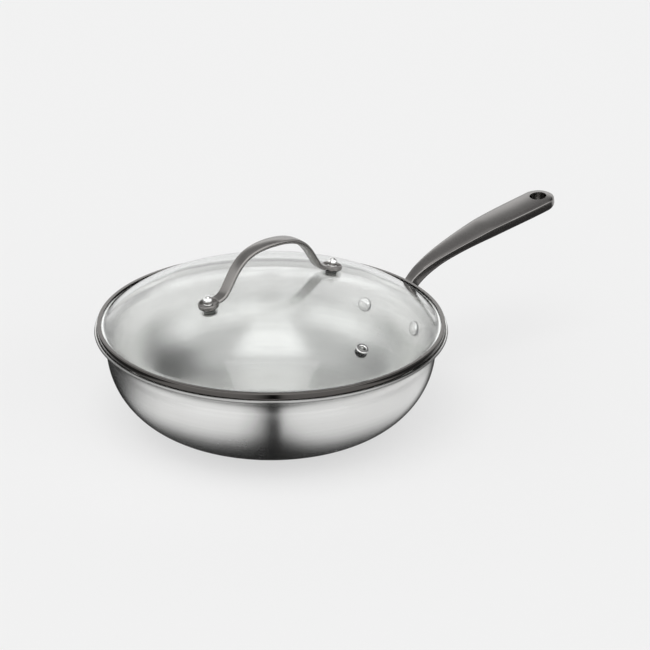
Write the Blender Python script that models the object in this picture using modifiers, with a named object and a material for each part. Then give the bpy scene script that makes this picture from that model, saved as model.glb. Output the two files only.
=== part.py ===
"""Wok with a flared rim, a riveted long handle and a domed glass lid, made piece by piece.

The pan stands on Z = 0 with its axis on Z, and its long handle points along +X. Lengths are in metres.
"""

import math

import bmesh
import bpy
from mathutils import Matrix, Vector

MM = 0.001

# Clearances and facets
CONTACT_GAP = 0.3 * MM  # between faces that touch on the real pan
HOLE_CLEARANCE = 0.3 * MM  # round a shank, on the radius
RING_STEPS = 56
SMALL_STEPS = 20
EYE_STEPS = 32
HANG_HOLE_STEPS = 28
END_STEPS = 8
BORE_EXTRA = 4.0 * MM  # how far a cutter runs past what it cuts
FACET_ALLOWANCE = 0.3 * MM  # the flats of the bowl's facets stand this far in from the round wall

# Section of both handles, as shares of its half width, its depth and its chamfer
CROWN_SHARES = (0.86, 0.45, 0.0, -0.45, -0.86)
BELLY_SHARE = 0.45
RIDGE_SIDE = 1.6
RIDGE_TOP = 0.4
RIDGE_INSET = 0.5
BELLY_STEPS = 3

# Bowl
BOWL_RADIUS = 137.2 * MM  # outside of the upright wall
BOWL_SHEET = 2.3 * MM
WALL_STRAIGHT = 0.6 * MM  # upright stretch between the round corner and the flare
LIP_REACH = 9.8 * MM  # how far the lip stands out from the wall
LIP_HEIGHT = 84.0 * MM  # underside of the lip's edge above the table
FLARE_ANGLE = math.radians(72.0)  # how far the flare turns out from upright
LIP_ROUND = 0.7 * MM
CORNER_STEPS = 10
FLARE_STEPS = 5

# Bonded base
CAP_SHEET = 0.6 * MM
CAP_ROUND = 2.4 * MM
CAP_INSET = 1.6 * MM  # from the edge of the bowl's flat bottom to the cap's rim
DISC_THICKNESS = 3.3 * MM
DISC_EDGE_GAP = 0.4 * MM

# Long handle and its rivets
FLANGE_DROP = 0.8 * MM  # from the start of the flare down to the flange's top edge
FLANGE_HEIGHT = 24.0 * MM
FLANGE_THICKNESS = 4.0 * MM
FLANGE_MARGIN = 11.0 * MM  # from a rivet's axis to the flange's end
ROOT_SINK = 3.0 * MM  # how deep the stem runs into the flange
RIVET_SPACING = 67.0 * MM
RIVET_SHANK = 5.0 * MM
RIVET_HEAD = 12.4 * MM
RIVET_HEAD_HEIGHT = 2.4 * MM
RIVET_TAIL = 9.0 * MM
RIVET_TAIL_HEIGHT = 2.0 * MM
NECK_CLEARANCE = 3.2 * MM  # between the lip's edge and the handle's neck
NECK_WIDTH = 9.2 * MM
NECK_DEPTH = 10.8 * MM
NECK_RISE = 0.3 * MM  # from the lip's underside up to the centre of the neck
NECK_ANGLE = math.radians(45.2)
NECK_ARM = 38.4 * MM
ROOT_WIDTH = 26.0 * MM
ROOT_DEPTH = 14.0 * MM
ROOT_ANGLE = math.radians(35.0)
ROOT_ARM = 11.0 * MM
HANDLE_LENGTH = 170.4 * MM  # from the lip's edge to the handle's tip
HANDLE_RISE = 41.4 * MM  # centre of the tip above the lip's underside
GRIP_ANGLE = math.radians(14.4)
GRIP_ARM = 30.1 * MM
GRIP_WIDTH = 29.8 * MM
GRIP_DEPTH = 10.1 * MM
WAIST_DEPTH = 8.0 * MM
SWELL_LENGTH = 132.7 * MM  # over which the neck widens to the grip
TIP_LENGTH = 15.0 * MM
CROWN_HEIGHT = 1.2 * MM
RIDGE_CHAMFER = 0.7 * MM
HANG_HOLE = 15.0 * MM
HANG_HOLE_INSET = 14.8 * MM  # from the tip to the hole's centre
FLANGE_STATIONS = 20
FLANGE_ROWS = 6
FLANGE_SPARE = math.radians(4.0)  # the plate is swept this much wider, and then trimmed
HANDLE_STATIONS = 24
ROOT_STATIONS = 6
STATION_POWER = 1.35  # draws the stations together towards the tip
WAIST_SHARE = 1.6  # over 1: the waist ends before the swell does
BLUNT_TIP = 0.12  # smallest width of the tip's rings, as a share
TIP_DEPTH = 0.55  # smallest depth of the tip's rings, as a share

# Lid band
BAND_INSET = 2.5 * MM  # from the lip's edge in to the band
BAND_SHEET = 0.5 * MM
BAND_FLANGE = 3.2 * MM  # how far the band's top turns in over the glass
BAND_ROUND = 0.9 * MM
SKIRT_INSET = 5.9 * MM  # from the band's outside in to the skirt
SKIRT_DROP = 4.2 * MM  # how far the skirt hangs into the bowl

# Lid glass
GLASS_THICKNESS = 4.0 * MM
GLASS_SEAT_GAP = 0.25 * MM
GLASS_EDGE_GAP = 0.5 * MM
GLASS_EDGE_ROUND = 0.8 * MM
DOME_RISE = 33.8 * MM
CROWN_RADIUS = 380.0 * MM  # of the flat middle of the dome
SHOULDER_RADIUS = 104.0 * MM  # of its rounder outer part
DOME_FOOT_INSET = 5.5 * MM  # from the band's outside to where the dome meets its rim
RIM_FILLET = 6.0 * MM
CROWN_STEPS = 5
SHOULDER_STEPS = 4
FILLET_STEPS = 3

# Lid handle and what holds it
LID_HANDLE_SPAN = 128.6 * MM  # between the two eyes, on the glass
LID_HANDLE_CLEARANCE = 33.6 * MM  # room for fingers over the top of the dome
STRAP_GRIP_WIDTH = 13.6 * MM
STRAP_FOOT_WIDTH = 9.6 * MM
STRAP_THICKNESS = 4.8 * MM
STRAP_CHAMFER = 0.8 * MM
FOOT_STEP = 0.2 * MM  # the strap's foot stands this far in from each face of its eye
KNEE_INSET = 18.4 * MM  # from the eye's axis in to the knee of the strap
KNEE_HEIGHT = 7.9 * MM  # of the knee over the top of the dome
KNEE_ANGLE = math.radians(57.3)
CROWN_ARM = 31.9 * MM
SHOULDER_ARM = 16.7 * MM
SHIN_ARM = 9.1 * MM
FOOT_ARM = 12.0 * MM
CROWN_STATIONS = 8
LEG_STATIONS = 7
EYE_DIAMETER = 17.2 * MM
EYE_THICKNESS = 4.0 * MM
EYE_CHAMFER = 0.7 * MM
RECESS_DIAMETER = 13.6 * MM
RECESS_DEPTH = 1.6 * MM
GASKET_DIAMETER = 13.2 * MM
GASKET_THICKNESS = 0.8 * MM
SLEEVE_WALL = 0.7 * MM
SLEEVE_SHORT = 2.8 * MM  # the gasket's sleeve stops this far above the glass's underside
STUD_SHANK = 4.4 * MM
STUD_HEAD = 8.2 * MM
STUD_HEAD_HEIGHT = 7.4 * MM
STUD_TAIL = 8.4 * MM
STUD_TAIL_HEIGHT = 1.5 * MM
LOWER_SEAL_DIAMETER = 9.6 * MM
LOWER_SEAL_THICKNESS = 1.2 * MM
WASHER_DIAMETER = 13.0 * MM
WASHER_THICKNESS = 1.0 * MM

# Steam vent
VENT_INSET = 27.0 * MM  # from the glass's edge in to the vent's axis
VENT_BORE = 5.5 * MM
VENT_TUBE_WALL = 0.7 * MM
VENT_FLANGE = 10.6 * MM
VENT_FLANGE_THICKNESS = 1.2 * MM
VENT_FOOT = 10.2 * MM
VENT_FOOT_THICKNESS = 0.9 * MM
VENT_SEAL_WALL = 0.6 * MM
VENT_SEAL_FLANGE = 10.0 * MM
VENT_SEAL_THICKNESS = 0.7 * MM

# Sizes that follow from the ones above
BOWL_FLOOR = CAP_SHEET + DISC_THICKNESS + 2 * CONTACT_GAP  # underside of the bowl
LIP_RADIUS = BOWL_RADIUS + LIP_REACH
FLARE_RADIUS = LIP_REACH / (1 - math.cos(FLARE_ANGLE))
FLARE_START = LIP_HEIGHT - FLARE_RADIUS * math.sin(FLARE_ANGLE)
CORNER_TOP = FLARE_START - WALL_STRAIGHT
CORNER_RADIUS = CORNER_TOP - BOWL_FLOOR
FLAT_RADIUS = BOWL_RADIUS - CORNER_RADIUS  # of the bowl's flat bottom
FLARE_CENTRE = Vector((BOWL_RADIUS + FLARE_RADIUS, FLARE_START))

BAND_RADIUS = LIP_RADIUS - BAND_INSET
SEAT_DROP = math.sqrt((FLARE_RADIUS + BOWL_SHEET) ** 2 - (FLARE_CENTRE.x - BAND_RADIUS) ** 2)
BAND_BOTTOM = FLARE_START + SEAT_DROP + CONTACT_GAP
BAND_TOP = BAND_BOTTOM + 2 * BAND_SHEET + 2 * GLASS_SEAT_GAP + GLASS_THICKNESS

RIM_TOP = BAND_TOP - BAND_SHEET - GLASS_SEAT_GAP  # of the glass
GLASS_RADIUS = BAND_RADIUS - BAND_SHEET - GLASS_EDGE_GAP
DOME_FOOT = BAND_RADIUS - DOME_FOOT_INSET
DOME_TOP = RIM_TOP + DOME_RISE
CROWN_CENTRE = Vector((0.0, DOME_TOP - CROWN_RADIUS))


def material(name, colour, roughness, metallic, transmission=0.0):
    made = bpy.data.materials.new(name)
    made.use_nodes = True
    shader = made.node_tree.nodes["Principled BSDF"]
    shader.inputs["Base Color"].default_value = (*colour, 1.0)
    shader.inputs["Roughness"].default_value = roughness
    shader.inputs["Metallic"].default_value = metallic
    shader.inputs["Transmission Weight"].default_value = transmission
    made.diffuse_color = (*colour, 1.0)
    return made


def place(name, mesh, collection, finish=None, frame=None):
    made = bpy.data.objects.new(name, mesh)
    collection.objects.link(made)
    if finish:
        mesh.materials.append(finish)
    if frame:
        made.matrix_world = frame
    return made


def guide(made):
    """A cutter or a shape that is joined to another: kept in the file, left out of the model."""
    made.hide_render = True
    made.display_type = "WIRE"
    return made


def arc(centre, radius, start, end, steps):
    """Points on a circle in the (radius, height) plane. Angles run from the radial direction upwards."""
    turns = [start + (end - start) * step / steps for step in range(steps + 1)]
    return [(centre[0] + radius * math.cos(turn), centre[1] + radius * math.sin(turn)) for turn in turns]


def turned(name, outline, collection, finish=None, frame=None, closed=False, steps=RING_STEPS):
    """A body turned about its own Z axis. The outline runs down the outside, from top to bottom."""
    mesh = bpy.data.meshes.new(name)
    edges = [(step, step + 1) for step in range(len(outline) - 1)]
    if closed:
        edges.append((len(outline) - 1, 0))
    mesh.from_pydata([(radius, 0.0, height) for radius, height in outline], edges, [])
    made = place(name, mesh, collection, finish, frame)
    screw = made.modifiers.new("Turn", "SCREW")
    screw.axis = "Z"
    screw.steps = steps
    screw.render_steps = steps
    screw.use_smooth_shade = True
    screw.use_merge_vertices = True
    screw.merge_threshold = 0.00001
    return made


def bar(name, radius, low, high, collection, frame=None, steps=SMALL_STEPS):
    """A round bar along its own Z axis, from low to high."""
    mesh = bpy.data.meshes.new(name)
    shape = bmesh.new()
    bmesh.ops.create_cone(shape, cap_ends=True, segments=steps, radius1=radius, radius2=radius,
                          depth=high - low, matrix=Matrix.Translation((0, 0, (low + high) / 2)))
    shape.to_mesh(mesh)
    shape.free()
    return guide(place(name, mesh, collection, frame=frame))


def combine(body, tool, operation):
    change = body.modifiers.new(operation.title() + " " + tool.name, "BOOLEAN")
    change.operation = operation
    change.object = tool
    change.solver = "EXACT"


def loft(name, rings, collection, finish=None):
    """A closed skin over rings of the same number of points, with both ends capped."""
    mesh = bpy.data.meshes.new(name)
    shape = bmesh.new()
    rows = [[shape.verts.new(point) for point in ring] for ring in rings]
    for row, following in zip(rows, rows[1:]):
        for side in range(len(row)):
            after = (side + 1) % len(row)
            shape.faces.new((row[side], row[after], following[after], following[side]))
    shape.faces.new(rows[0])
    shape.faces.new(rows[-1])
    bmesh.ops.recalc_face_normals(shape, faces=shape.faces)
    for face in shape.faces:
        face.smooth = True
    shape.to_mesh(mesh)
    shape.free()
    return place(name, mesh, collection, finish)


def plug(name, outline, collection, frame):
    """A round solid whose flat ends are one face each, to join to a body or to cut out of it."""
    turns = [math.tau * step / EYE_STEPS for step in range(EYE_STEPS)]
    rings = [[Vector((radius * math.cos(turn), radius * math.sin(turn), height)) for turn in turns]
             for radius, height in outline]
    made = guide(loft(name, rings, collection))
    made.matrix_world = frame
    return made


def bezier(start, start_arm, end_arm, end, part):
    rest = 1 - part
    return rest ** 3 * start + 3 * rest ** 2 * part * start_arm + 3 * rest * part ** 2 * end_arm + part ** 3 * end


def section(middle, slope, width, depth, crown, chamfer):
    """One ring of a bar that runs in the XZ plane: crowned on top, ridged at its edges, round below."""
    half = width / 2
    top = depth / 2
    belly = min(half, depth) * BELLY_SHARE
    outline = [(half, top - chamfer * RIDGE_SIDE)]
    outline.append((half - chamfer * RIDGE_INSET, top - chamfer * RIDGE_TOP))
    outline += [(half * share, top + crown * (1 - share ** 2)) for share in CROWN_SHARES]
    outline += [(-across, height) for across, height in outline[1::-1]]
    outline += arc((belly - half, belly - top), belly, math.pi, math.pi * 1.5, BELLY_STEPS)
    outline += arc((half - belly, belly - top), belly, math.pi * 1.5, math.tau, BELLY_STEPS)
    along = Vector((-math.sin(slope), 0, math.cos(slope)))
    return [middle + Vector((0, across, 0)) + along * height for across, height in outline]


def wall_point(distance, offset):
    """(radius, height) on the bowl's outside, this far down from the flare's start, moved out by offset."""
    if distance <= WALL_STRAIGHT:
        return BOWL_RADIUS + offset, FLARE_START - distance
    turn = (distance - WALL_STRAIGHT) / CORNER_RADIUS
    reach = CORNER_RADIUS + offset
    return FLAT_RADIUS + reach * math.cos(turn), CORNER_TOP - reach * math.sin(turn)


def bowl_side(offset):
    """The bowl's profile from the lip down to the axis, moved out by offset from its outside."""
    flare = arc(FLARE_CENTRE, FLARE_RADIUS - offset, math.pi - FLARE_ANGLE, math.pi, FLARE_STEPS)
    corner = arc((FLAT_RADIUS, CORNER_TOP), CORNER_RADIUS + offset, 0, -math.pi / 2, CORNER_STEPS)
    return flare + corner + [(0.0, BOWL_FLOOR - offset)]


def lip_edge():
    """The lip's cut edge between the inner and the outer face, with both corners rounded."""
    points = []
    for side, turn in ((1, 0.0), (1, 45.0), (1, 90.0), (-1, 90.0), (-1, 45.0), (-1, 0.0)):
        angle = math.radians(turn)
        inward = LIP_ROUND * (1 - math.sin(angle))
        across = BOWL_SHEET / 2 - LIP_ROUND * (1 - math.cos(angle))
        radius = FLARE_RADIUS + BOWL_SHEET / 2 + side * across
        direction = math.pi - FLARE_ANGLE + inward / radius
        points.append((FLARE_CENTRE.x + radius * math.cos(direction), FLARE_CENTRE.y + radius * math.sin(direction)))
    return points


def rivet_frames():
    """Where the two handle rivets cross the wall: Z points out along the wall's normal."""
    distance = FLANGE_DROP + FLANGE_HEIGHT / 2
    radius, height = wall_point(distance, 0.0)
    tilt = max(distance - WALL_STRAIGHT, 0.0) / CORNER_RADIUS
    turn = math.asin(RIVET_SPACING / 2 / radius)
    frames = []
    for side, name in ((1, "left"), (-1, "right")):
        about = Matrix.Rotation(side * turn, 4, "Z")
        frame = about @ Matrix.Translation((radius, 0, height)) @ Matrix.Rotation(math.pi / 2 + tilt, 4, "Y")
        frames.append((name, frame))
    return frames


def shoulder_centre():
    """Centre of the dome's outer arc, which leaves the crown's arc smoothly and ends at the dome's foot."""
    way = Vector((DOME_FOOT, RIM_TOP)) - CROWN_CENTRE
    shift = CROWN_RADIUS - SHOULDER_RADIUS
    along = (shift ** 2 - SHOULDER_RADIUS ** 2 + way.length_squared) / (2 * way.length)
    across = math.sqrt(shift ** 2 - along ** 2)
    way.normalize()
    return CROWN_CENTRE + along * way + across * Vector((-way.y, way.x))


def dome_join():
    """Lean of the glass where the crown's arc meets the outer arc."""
    way = shoulder_centre() - CROWN_CENTRE
    return math.atan2(way.x, way.y)


def dome_frame(direction, reach):
    """A place on the dome's outside, this far from the axis: Z points out along the glass's normal."""
    centre = CROWN_CENTRE
    radius = CROWN_RADIUS
    if reach > CROWN_RADIUS * math.sin(dome_join()):
        centre = shoulder_centre()
        radius = SHOULDER_RADIUS
    lean = math.asin((reach - centre.x) / radius)
    about = Matrix.Rotation(direction, 4, "Z") @ Matrix.Translation((centre.x, 0, centre.y))
    return about @ Matrix.Rotation(lean, 4, "Y") @ Matrix.Translation((0, 0, radius))


def make_bowl(parts, tools, finish):
    outline = bowl_side(-BOWL_SHEET)[::-1]
    outline = outline[:-1] + lip_edge() + bowl_side(0.0)[1:]
    bowl = turned("wok_bowl", outline, parts, finish)
    for name, frame in rivet_frames():
        hole = bar("bowl_rivet_hole_" + name, RIVET_SHANK / 2 + HOLE_CLEARANCE,
                   -BOWL_SHEET - BORE_EXTRA, BORE_EXTRA, tools, frame)
        combine(bowl, hole, "DIFFERENCE")


def make_base(parts, cap_finish, disc_finish):
    cap_radius = FLAT_RADIUS - CAP_INSET
    rim = BOWL_FLOOR - CONTACT_GAP
    inside = CAP_ROUND - CAP_SHEET
    corner = (cap_radius - CAP_ROUND, CAP_ROUND)
    outline = [(0.0, CAP_SHEET)]
    outline += arc(corner, inside, -math.pi / 2, 0, 3)
    outline += [(cap_radius - CAP_SHEET, rim), (cap_radius, rim)]
    outline += arc(corner, CAP_ROUND, 0, -math.pi / 2, 3)
    outline.append((0.0, 0.0))
    turned("base_cap", outline, parts, cap_finish)
    low = CAP_SHEET + CONTACT_GAP
    high = low + DISC_THICKNESS
    radius = cap_radius - CAP_SHEET - DISC_EDGE_GAP
    bevel = inside
    outline = [(0.0, high), (radius, high), (radius, low + bevel), (radius - bevel * 0.3, low + bevel * 0.3)]
    outline += [(radius - bevel, low), (0.0, low)]
    turned("heat_spreader_disc", outline, parts, disc_finish)


def make_flange(tools):
    """The handle's curved plate on the wall, with round ends, as a shape to join to the stem."""
    near = CONTACT_GAP
    far = CONTACT_GAP + FLANGE_THICKNESS
    distances = [FLANGE_DROP + FLANGE_HEIGHT * row / FLANGE_ROWS for row in range(FLANGE_ROWS + 1)]
    outline = [wall_point(distance, far) for distance in distances]
    outline += [wall_point(distance, near) for distance in distances[::-1]]
    middle_radius, middle_height = wall_point(FLANGE_DROP + FLANGE_HEIGHT / 2, 0.0)
    half_width = RIVET_SPACING / 2 + FLANGE_MARGIN
    sweep = 2 * math.asin(half_width / middle_radius) + FLANGE_SPARE
    rings = []
    for step in range(FLANGE_STATIONS + 1):
        turn = Matrix.Rotation(sweep * (step / FLANGE_STATIONS - 0.5), 3, "Z")
        rings.append([turn @ Vector((radius, 0, height)) for radius, height in outline])
    plate = guide(loft("flange_plate", rings, tools))
    curve = bpy.data.curves.new("flange_outline", "CURVE")
    curve.dimensions = "2D"
    curve.fill_mode = "BOTH"
    curve.extrude = BOWL_RADIUS / 2
    spline = curve.splines.new("POLY")
    end = FLANGE_HEIGHT / 2
    points = arc((half_width - end, 0.0), end, -math.pi / 2, math.pi / 2, END_STEPS)
    points += arc((end - half_width, 0.0), end, math.pi / 2, math.pi * 1.5, END_STEPS)
    spline.points.add(len(points) - 1)
    for slot, point in zip(spline.points, points):
        slot.co = (point[0], point[1], 0.0, 1.0)
    spline.use_cyclic_u = True
    shape = bpy.data.objects.new("flange_outline", curve)
    solid = bpy.data.meshes.new_from_object(shape)
    weld = bmesh.new()
    weld.from_mesh(solid)
    bmesh.ops.remove_doubles(weld, verts=weld.verts, dist=0.00001)
    bmesh.ops.recalc_face_normals(weld, faces=weld.faces)
    weld.to_mesh(solid)
    weld.free()
    bpy.data.objects.remove(shape)
    facing = Matrix(((0, 0, 1, middle_radius), (1, 0, 0, 0), (0, 1, 0, middle_height), (0, 0, 0, 1)))
    trim = guide(place("flange_outline", solid, tools, frame=facing))
    combine(plate, trim, "INTERSECT")
    return plate


def handle_rings():
    """The stem's rings: out from the flange, up past the lip and along to the tip."""
    root_radius, root_height = wall_point(FLANGE_DROP + FLANGE_HEIGHT / 2, CONTACT_GAP + FLANGE_THICKNESS / 2)
    root = Vector((root_radius, 0, root_height))
    neck_offset = NECK_CLEARANCE + NECK_DEPTH / 2
    neck = Vector((LIP_RADIUS + neck_offset, 0, LIP_HEIGHT + NECK_RISE))
    tip = Vector((LIP_RADIUS + HANDLE_LENGTH, 0, LIP_HEIGHT + HANDLE_RISE))
    root_arm = root + ROOT_ARM * Vector((math.cos(ROOT_ANGLE), 0, math.sin(ROOT_ANGLE)))
    neck_way = Vector((math.cos(NECK_ANGLE), 0, math.sin(NECK_ANGLE)))
    tip_arm = tip - GRIP_ARM * Vector((math.cos(GRIP_ANGLE), 0, math.sin(GRIP_ANGLE)))
    spine = []
    for step in range(ROOT_STATIONS):
        part = step / ROOT_STATIONS
        point = bezier(root, root_arm, neck - ROOT_ARM * neck_way, neck, part)
        ease = part * part * (3 - 2 * part)
        width = ROOT_WIDTH + (NECK_WIDTH - ROOT_WIDTH) * ease
        depth = ROOT_DEPTH + (NECK_DEPTH - ROOT_DEPTH) * ease
        spine.append((point, width, depth, 0.0))
    for step in range(HANDLE_STATIONS + 1):
        part = 1 - (1 - step / HANDLE_STATIONS) ** STATION_POWER
        point = bezier(neck, neck + NECK_ARM * neck_way, tip_arm, tip, part)
        out = point.x - neck.x
        swell = min(out / SWELL_LENGTH, 1.0)
        width = NECK_WIDTH + (GRIP_WIDTH - NECK_WIDTH) * (1 - (1 - swell) ** 2)
        depth = NECK_DEPTH + (GRIP_DEPTH - NECK_DEPTH) * swell
        waist = (NECK_DEPTH + GRIP_DEPTH) / 2 - WAIST_DEPTH
        depth -= waist * math.sin(math.pi * min(WAIST_SHARE * swell, 1.0))
        left = tip.x - point.x
        if left < TIP_LENGTH:
            closing = math.sqrt(max(1 - (1 - left / TIP_LENGTH) ** 2, 0.0))
            width *= max(closing, BLUNT_TIP)
            depth *= TIP_DEPTH + (1 - TIP_DEPTH) * closing
        spine.append((point, width, depth, CROWN_HEIGHT * min(width / GRIP_WIDTH, 1.0)))
    rings = []
    for index, (point, width, depth, crown) in enumerate(spine):
        before = spine[max(index - 1, 0)][0]
        after = spine[min(index + 1, len(spine) - 1)][0]
        slope = math.atan2(after.z - before.z, after.x - before.x)
        rings.append(section(point, slope, width, depth, crown, RIDGE_CHAMFER))
    return rings


def make_long_handle(parts, tools, finish, rivet_finish):
    handle = loft("long_handle", handle_rings(), parts, finish)
    through = CONTACT_GAP + FLANGE_THICKNESS
    side = bowl_side(through - ROOT_SINK)
    clear = guide(turned("root_trim", [(0.0, side[0][1])] + side, tools))
    combine(handle, clear, "DIFFERENCE")
    combine(handle, make_flange(tools), "UNION")
    for name, frame in rivet_frames():
        hole = bar("flange_rivet_hole_" + name, RIVET_SHANK / 2 + HOLE_CLEARANCE, -BORE_EXTRA / 4,
                   through + BORE_EXTRA, tools, frame)
        combine(handle, hole, "DIFFERENCE")
        make_handle_rivet(name, frame, through, parts, rivet_finish)
    hole_place = Matrix.Translation((LIP_RADIUS + HANDLE_LENGTH - HANG_HOLE_INSET, 0, LIP_HEIGHT + HANDLE_RISE))
    hole = bar("hang_hole", HANG_HOLE / 2, -GRIP_DEPTH - BORE_EXTRA, GRIP_DEPTH + BORE_EXTRA, tools, hole_place,
               HANG_HOLE_STEPS)
    combine(handle, hole, "DIFFERENCE")


def make_handle_rivet(name, frame, through, parts, finish):
    shank = RIVET_SHANK / 2
    head = RIVET_HEAD / 2
    tail = RIVET_TAIL / 2
    seat = through + CONTACT_GAP
    inner = -BOWL_SHEET - CONTACT_GAP - FACET_ALLOWANCE
    relief = head ** 2 / 2 / (CORNER_RADIUS - BOWL_SHEET) + head ** 2 / 2 / (BOWL_RADIUS - BOWL_SHEET)
    outline = [(0.0, seat + RIVET_TAIL_HEIGHT)]
    outline += [(tail * 0.6, seat + RIVET_TAIL_HEIGHT * 0.85), (tail * 0.9, seat + RIVET_TAIL_HEIGHT * 0.5)]
    outline += [(tail, seat), (shank, seat), (shank, inner)]
    outline += [(head, inner - relief), (head * 0.97, inner - relief - RIVET_HEAD_HEIGHT * 0.35)]
    outline += [(head * 0.8, inner - RIVET_HEAD_HEIGHT * 0.8), (head * 0.45, inner - RIVET_HEAD_HEIGHT * 0.97)]
    outline.append((0.0, inner - RIVET_HEAD_HEIGHT))
    turned("handle_rivet_" + name, outline, parts, finish, frame, steps=SMALL_STEPS)


def make_lid_band(parts, finish):
    skirt = BAND_RADIUS - SKIRT_INSET
    inside = BAND_RADIUS - BAND_SHEET
    outline = [(BAND_RADIUS - BAND_FLANGE, BAND_TOP)]
    outline += arc((BAND_RADIUS - BAND_ROUND, BAND_TOP - BAND_ROUND), BAND_ROUND, math.pi / 2, 0, 3)
    outline += arc((BAND_RADIUS - BAND_ROUND, BAND_BOTTOM + BAND_ROUND), BAND_ROUND, 0, -math.pi / 2, 3)
    outline += [(skirt, BAND_BOTTOM), (skirt, BAND_BOTTOM - SKIRT_DROP)]
    outline += [(skirt - BAND_SHEET, BAND_BOTTOM - SKIRT_DROP), (skirt - BAND_SHEET, BAND_BOTTOM + BAND_SHEET)]
    outline += [(inside, BAND_BOTTOM + BAND_SHEET), (inside, BAND_TOP - BAND_SHEET)]
    outline.append((BAND_RADIUS - BAND_FLANGE, BAND_TOP - BAND_SHEET))
    return turned("lid_band", outline, parts, finish, closed=True)


def glass_face(depth):
    """One face of the glass from the axis out to its flat rim, this far below its top face."""
    outer = shoulder_centre()
    join = math.pi / 2 - dome_join()
    span = SHOULDER_RADIUS + RIM_FILLET
    rise = RIM_TOP + RIM_FILLET - outer.y
    turn = math.asin(rise / span)
    fillet = (outer.x + span * math.cos(turn), RIM_TOP + RIM_FILLET)
    face = arc(CROWN_CENTRE, CROWN_RADIUS - depth, math.pi / 2, join, CROWN_STEPS)
    face[0] = (0.0, face[0][1])
    face += arc(outer, SHOULDER_RADIUS - depth, join, turn, SHOULDER_STEPS)[1:]
    return face + arc(fillet, RIM_FILLET + depth, turn - math.pi, -math.pi / 2, FILLET_STEPS)[1:]


def make_lid_glass(parts, tools, finish, holes):
    inset = GLASS_EDGE_ROUND
    low = RIM_TOP - GLASS_THICKNESS
    outline = glass_face(0.0)
    outline += [(GLASS_RADIUS - inset, RIM_TOP), (GLASS_RADIUS, RIM_TOP - inset)]
    outline += [(GLASS_RADIUS, low + inset), (GLASS_RADIUS - inset, low)]
    outline += glass_face(GLASS_THICKNESS)[::-1]
    glass = turned("lid_glass", outline, parts, finish)
    for name, frame, radius in holes:
        hole = bar("glass_hole_" + name, radius, -GLASS_THICKNESS - BORE_EXTRA, BORE_EXTRA, tools, frame)
        combine(glass, hole, "DIFFERENCE")
    return glass


def ring_outline(inner, outer, low, high):
    return [(inner, high), (outer, high), (outer, low), (inner, low)]


def make_lid_fixings(name, frame, parts, finishes):
    """What stacks up on one stud of the lid handle, from the glass outwards and inwards."""
    bore = STUD_SHANK / 2 + HOLE_CLEARANCE
    sleeve = bore + SLEEVE_WALL
    low = CONTACT_GAP
    high = low + GASKET_THICKNESS
    outline = [(bore, high), (GASKET_DIAMETER / 2, high), (GASKET_DIAMETER / 2, low), (sleeve, low)]
    outline += [(sleeve, SLEEVE_SHORT - GLASS_THICKNESS), (bore, SLEEVE_SHORT - GLASS_THICKNESS)]
    made = [turned("lid_gasket_" + name, outline, parts, finishes["rubber"], frame, closed=True, steps=SMALL_STEPS)]
    under = -GLASS_THICKNESS - CONTACT_GAP
    relief = (LOWER_SEAL_DIAMETER / 2) ** 2 / 2 / (CROWN_RADIUS - GLASS_THICKNESS)
    seal_top = under - relief
    seal_low = seal_top - LOWER_SEAL_THICKNESS
    outline = ring_outline(bore, LOWER_SEAL_DIAMETER / 2, seal_low, seal_top)
    made.append(turned("lid_seal_" + name, outline, parts, finishes["seal"], frame, closed=True, steps=SMALL_STEPS))
    washer_top = seal_low - CONTACT_GAP
    washer_low = washer_top - WASHER_THICKNESS
    outline = ring_outline(bore, WASHER_DIAMETER / 2, washer_low, washer_top)
    made.append(turned("lid_washer_" + name, outline, parts, finishes["steel"], frame, closed=True,
                       steps=SMALL_STEPS))
    tail_top = washer_low - CONTACT_GAP
    tail = STUD_TAIL / 2
    shank = STUD_SHANK / 2
    head = STUD_HEAD / 2
    seat = eye_bottom() + EYE_THICKNESS - RECESS_DEPTH + CONTACT_GAP
    dome = arc((0.0, seat + STUD_HEAD_HEIGHT - head), head, math.pi / 2, 0, 6)
    outline = [(0.0, dome[0][1])] + dome[1:]
    outline += [(head, seat), (shank, seat), (shank, tail_top), (tail, tail_top)]
    outline += [(tail * 0.85, tail_top - STUD_TAIL_HEIGHT * 0.6), (tail * 0.5, tail_top - STUD_TAIL_HEIGHT * 0.95)]
    outline.append((0.0, tail_top - STUD_TAIL_HEIGHT))
    made.append(turned("lid_stud_" + name, outline, parts, finishes["polished"], frame, steps=SMALL_STEPS))
    return made


def eye_bottom():
    """Height of the lid handle's eye over the glass, along the stud."""
    return GASKET_THICKNESS + 2 * CONTACT_GAP


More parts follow.
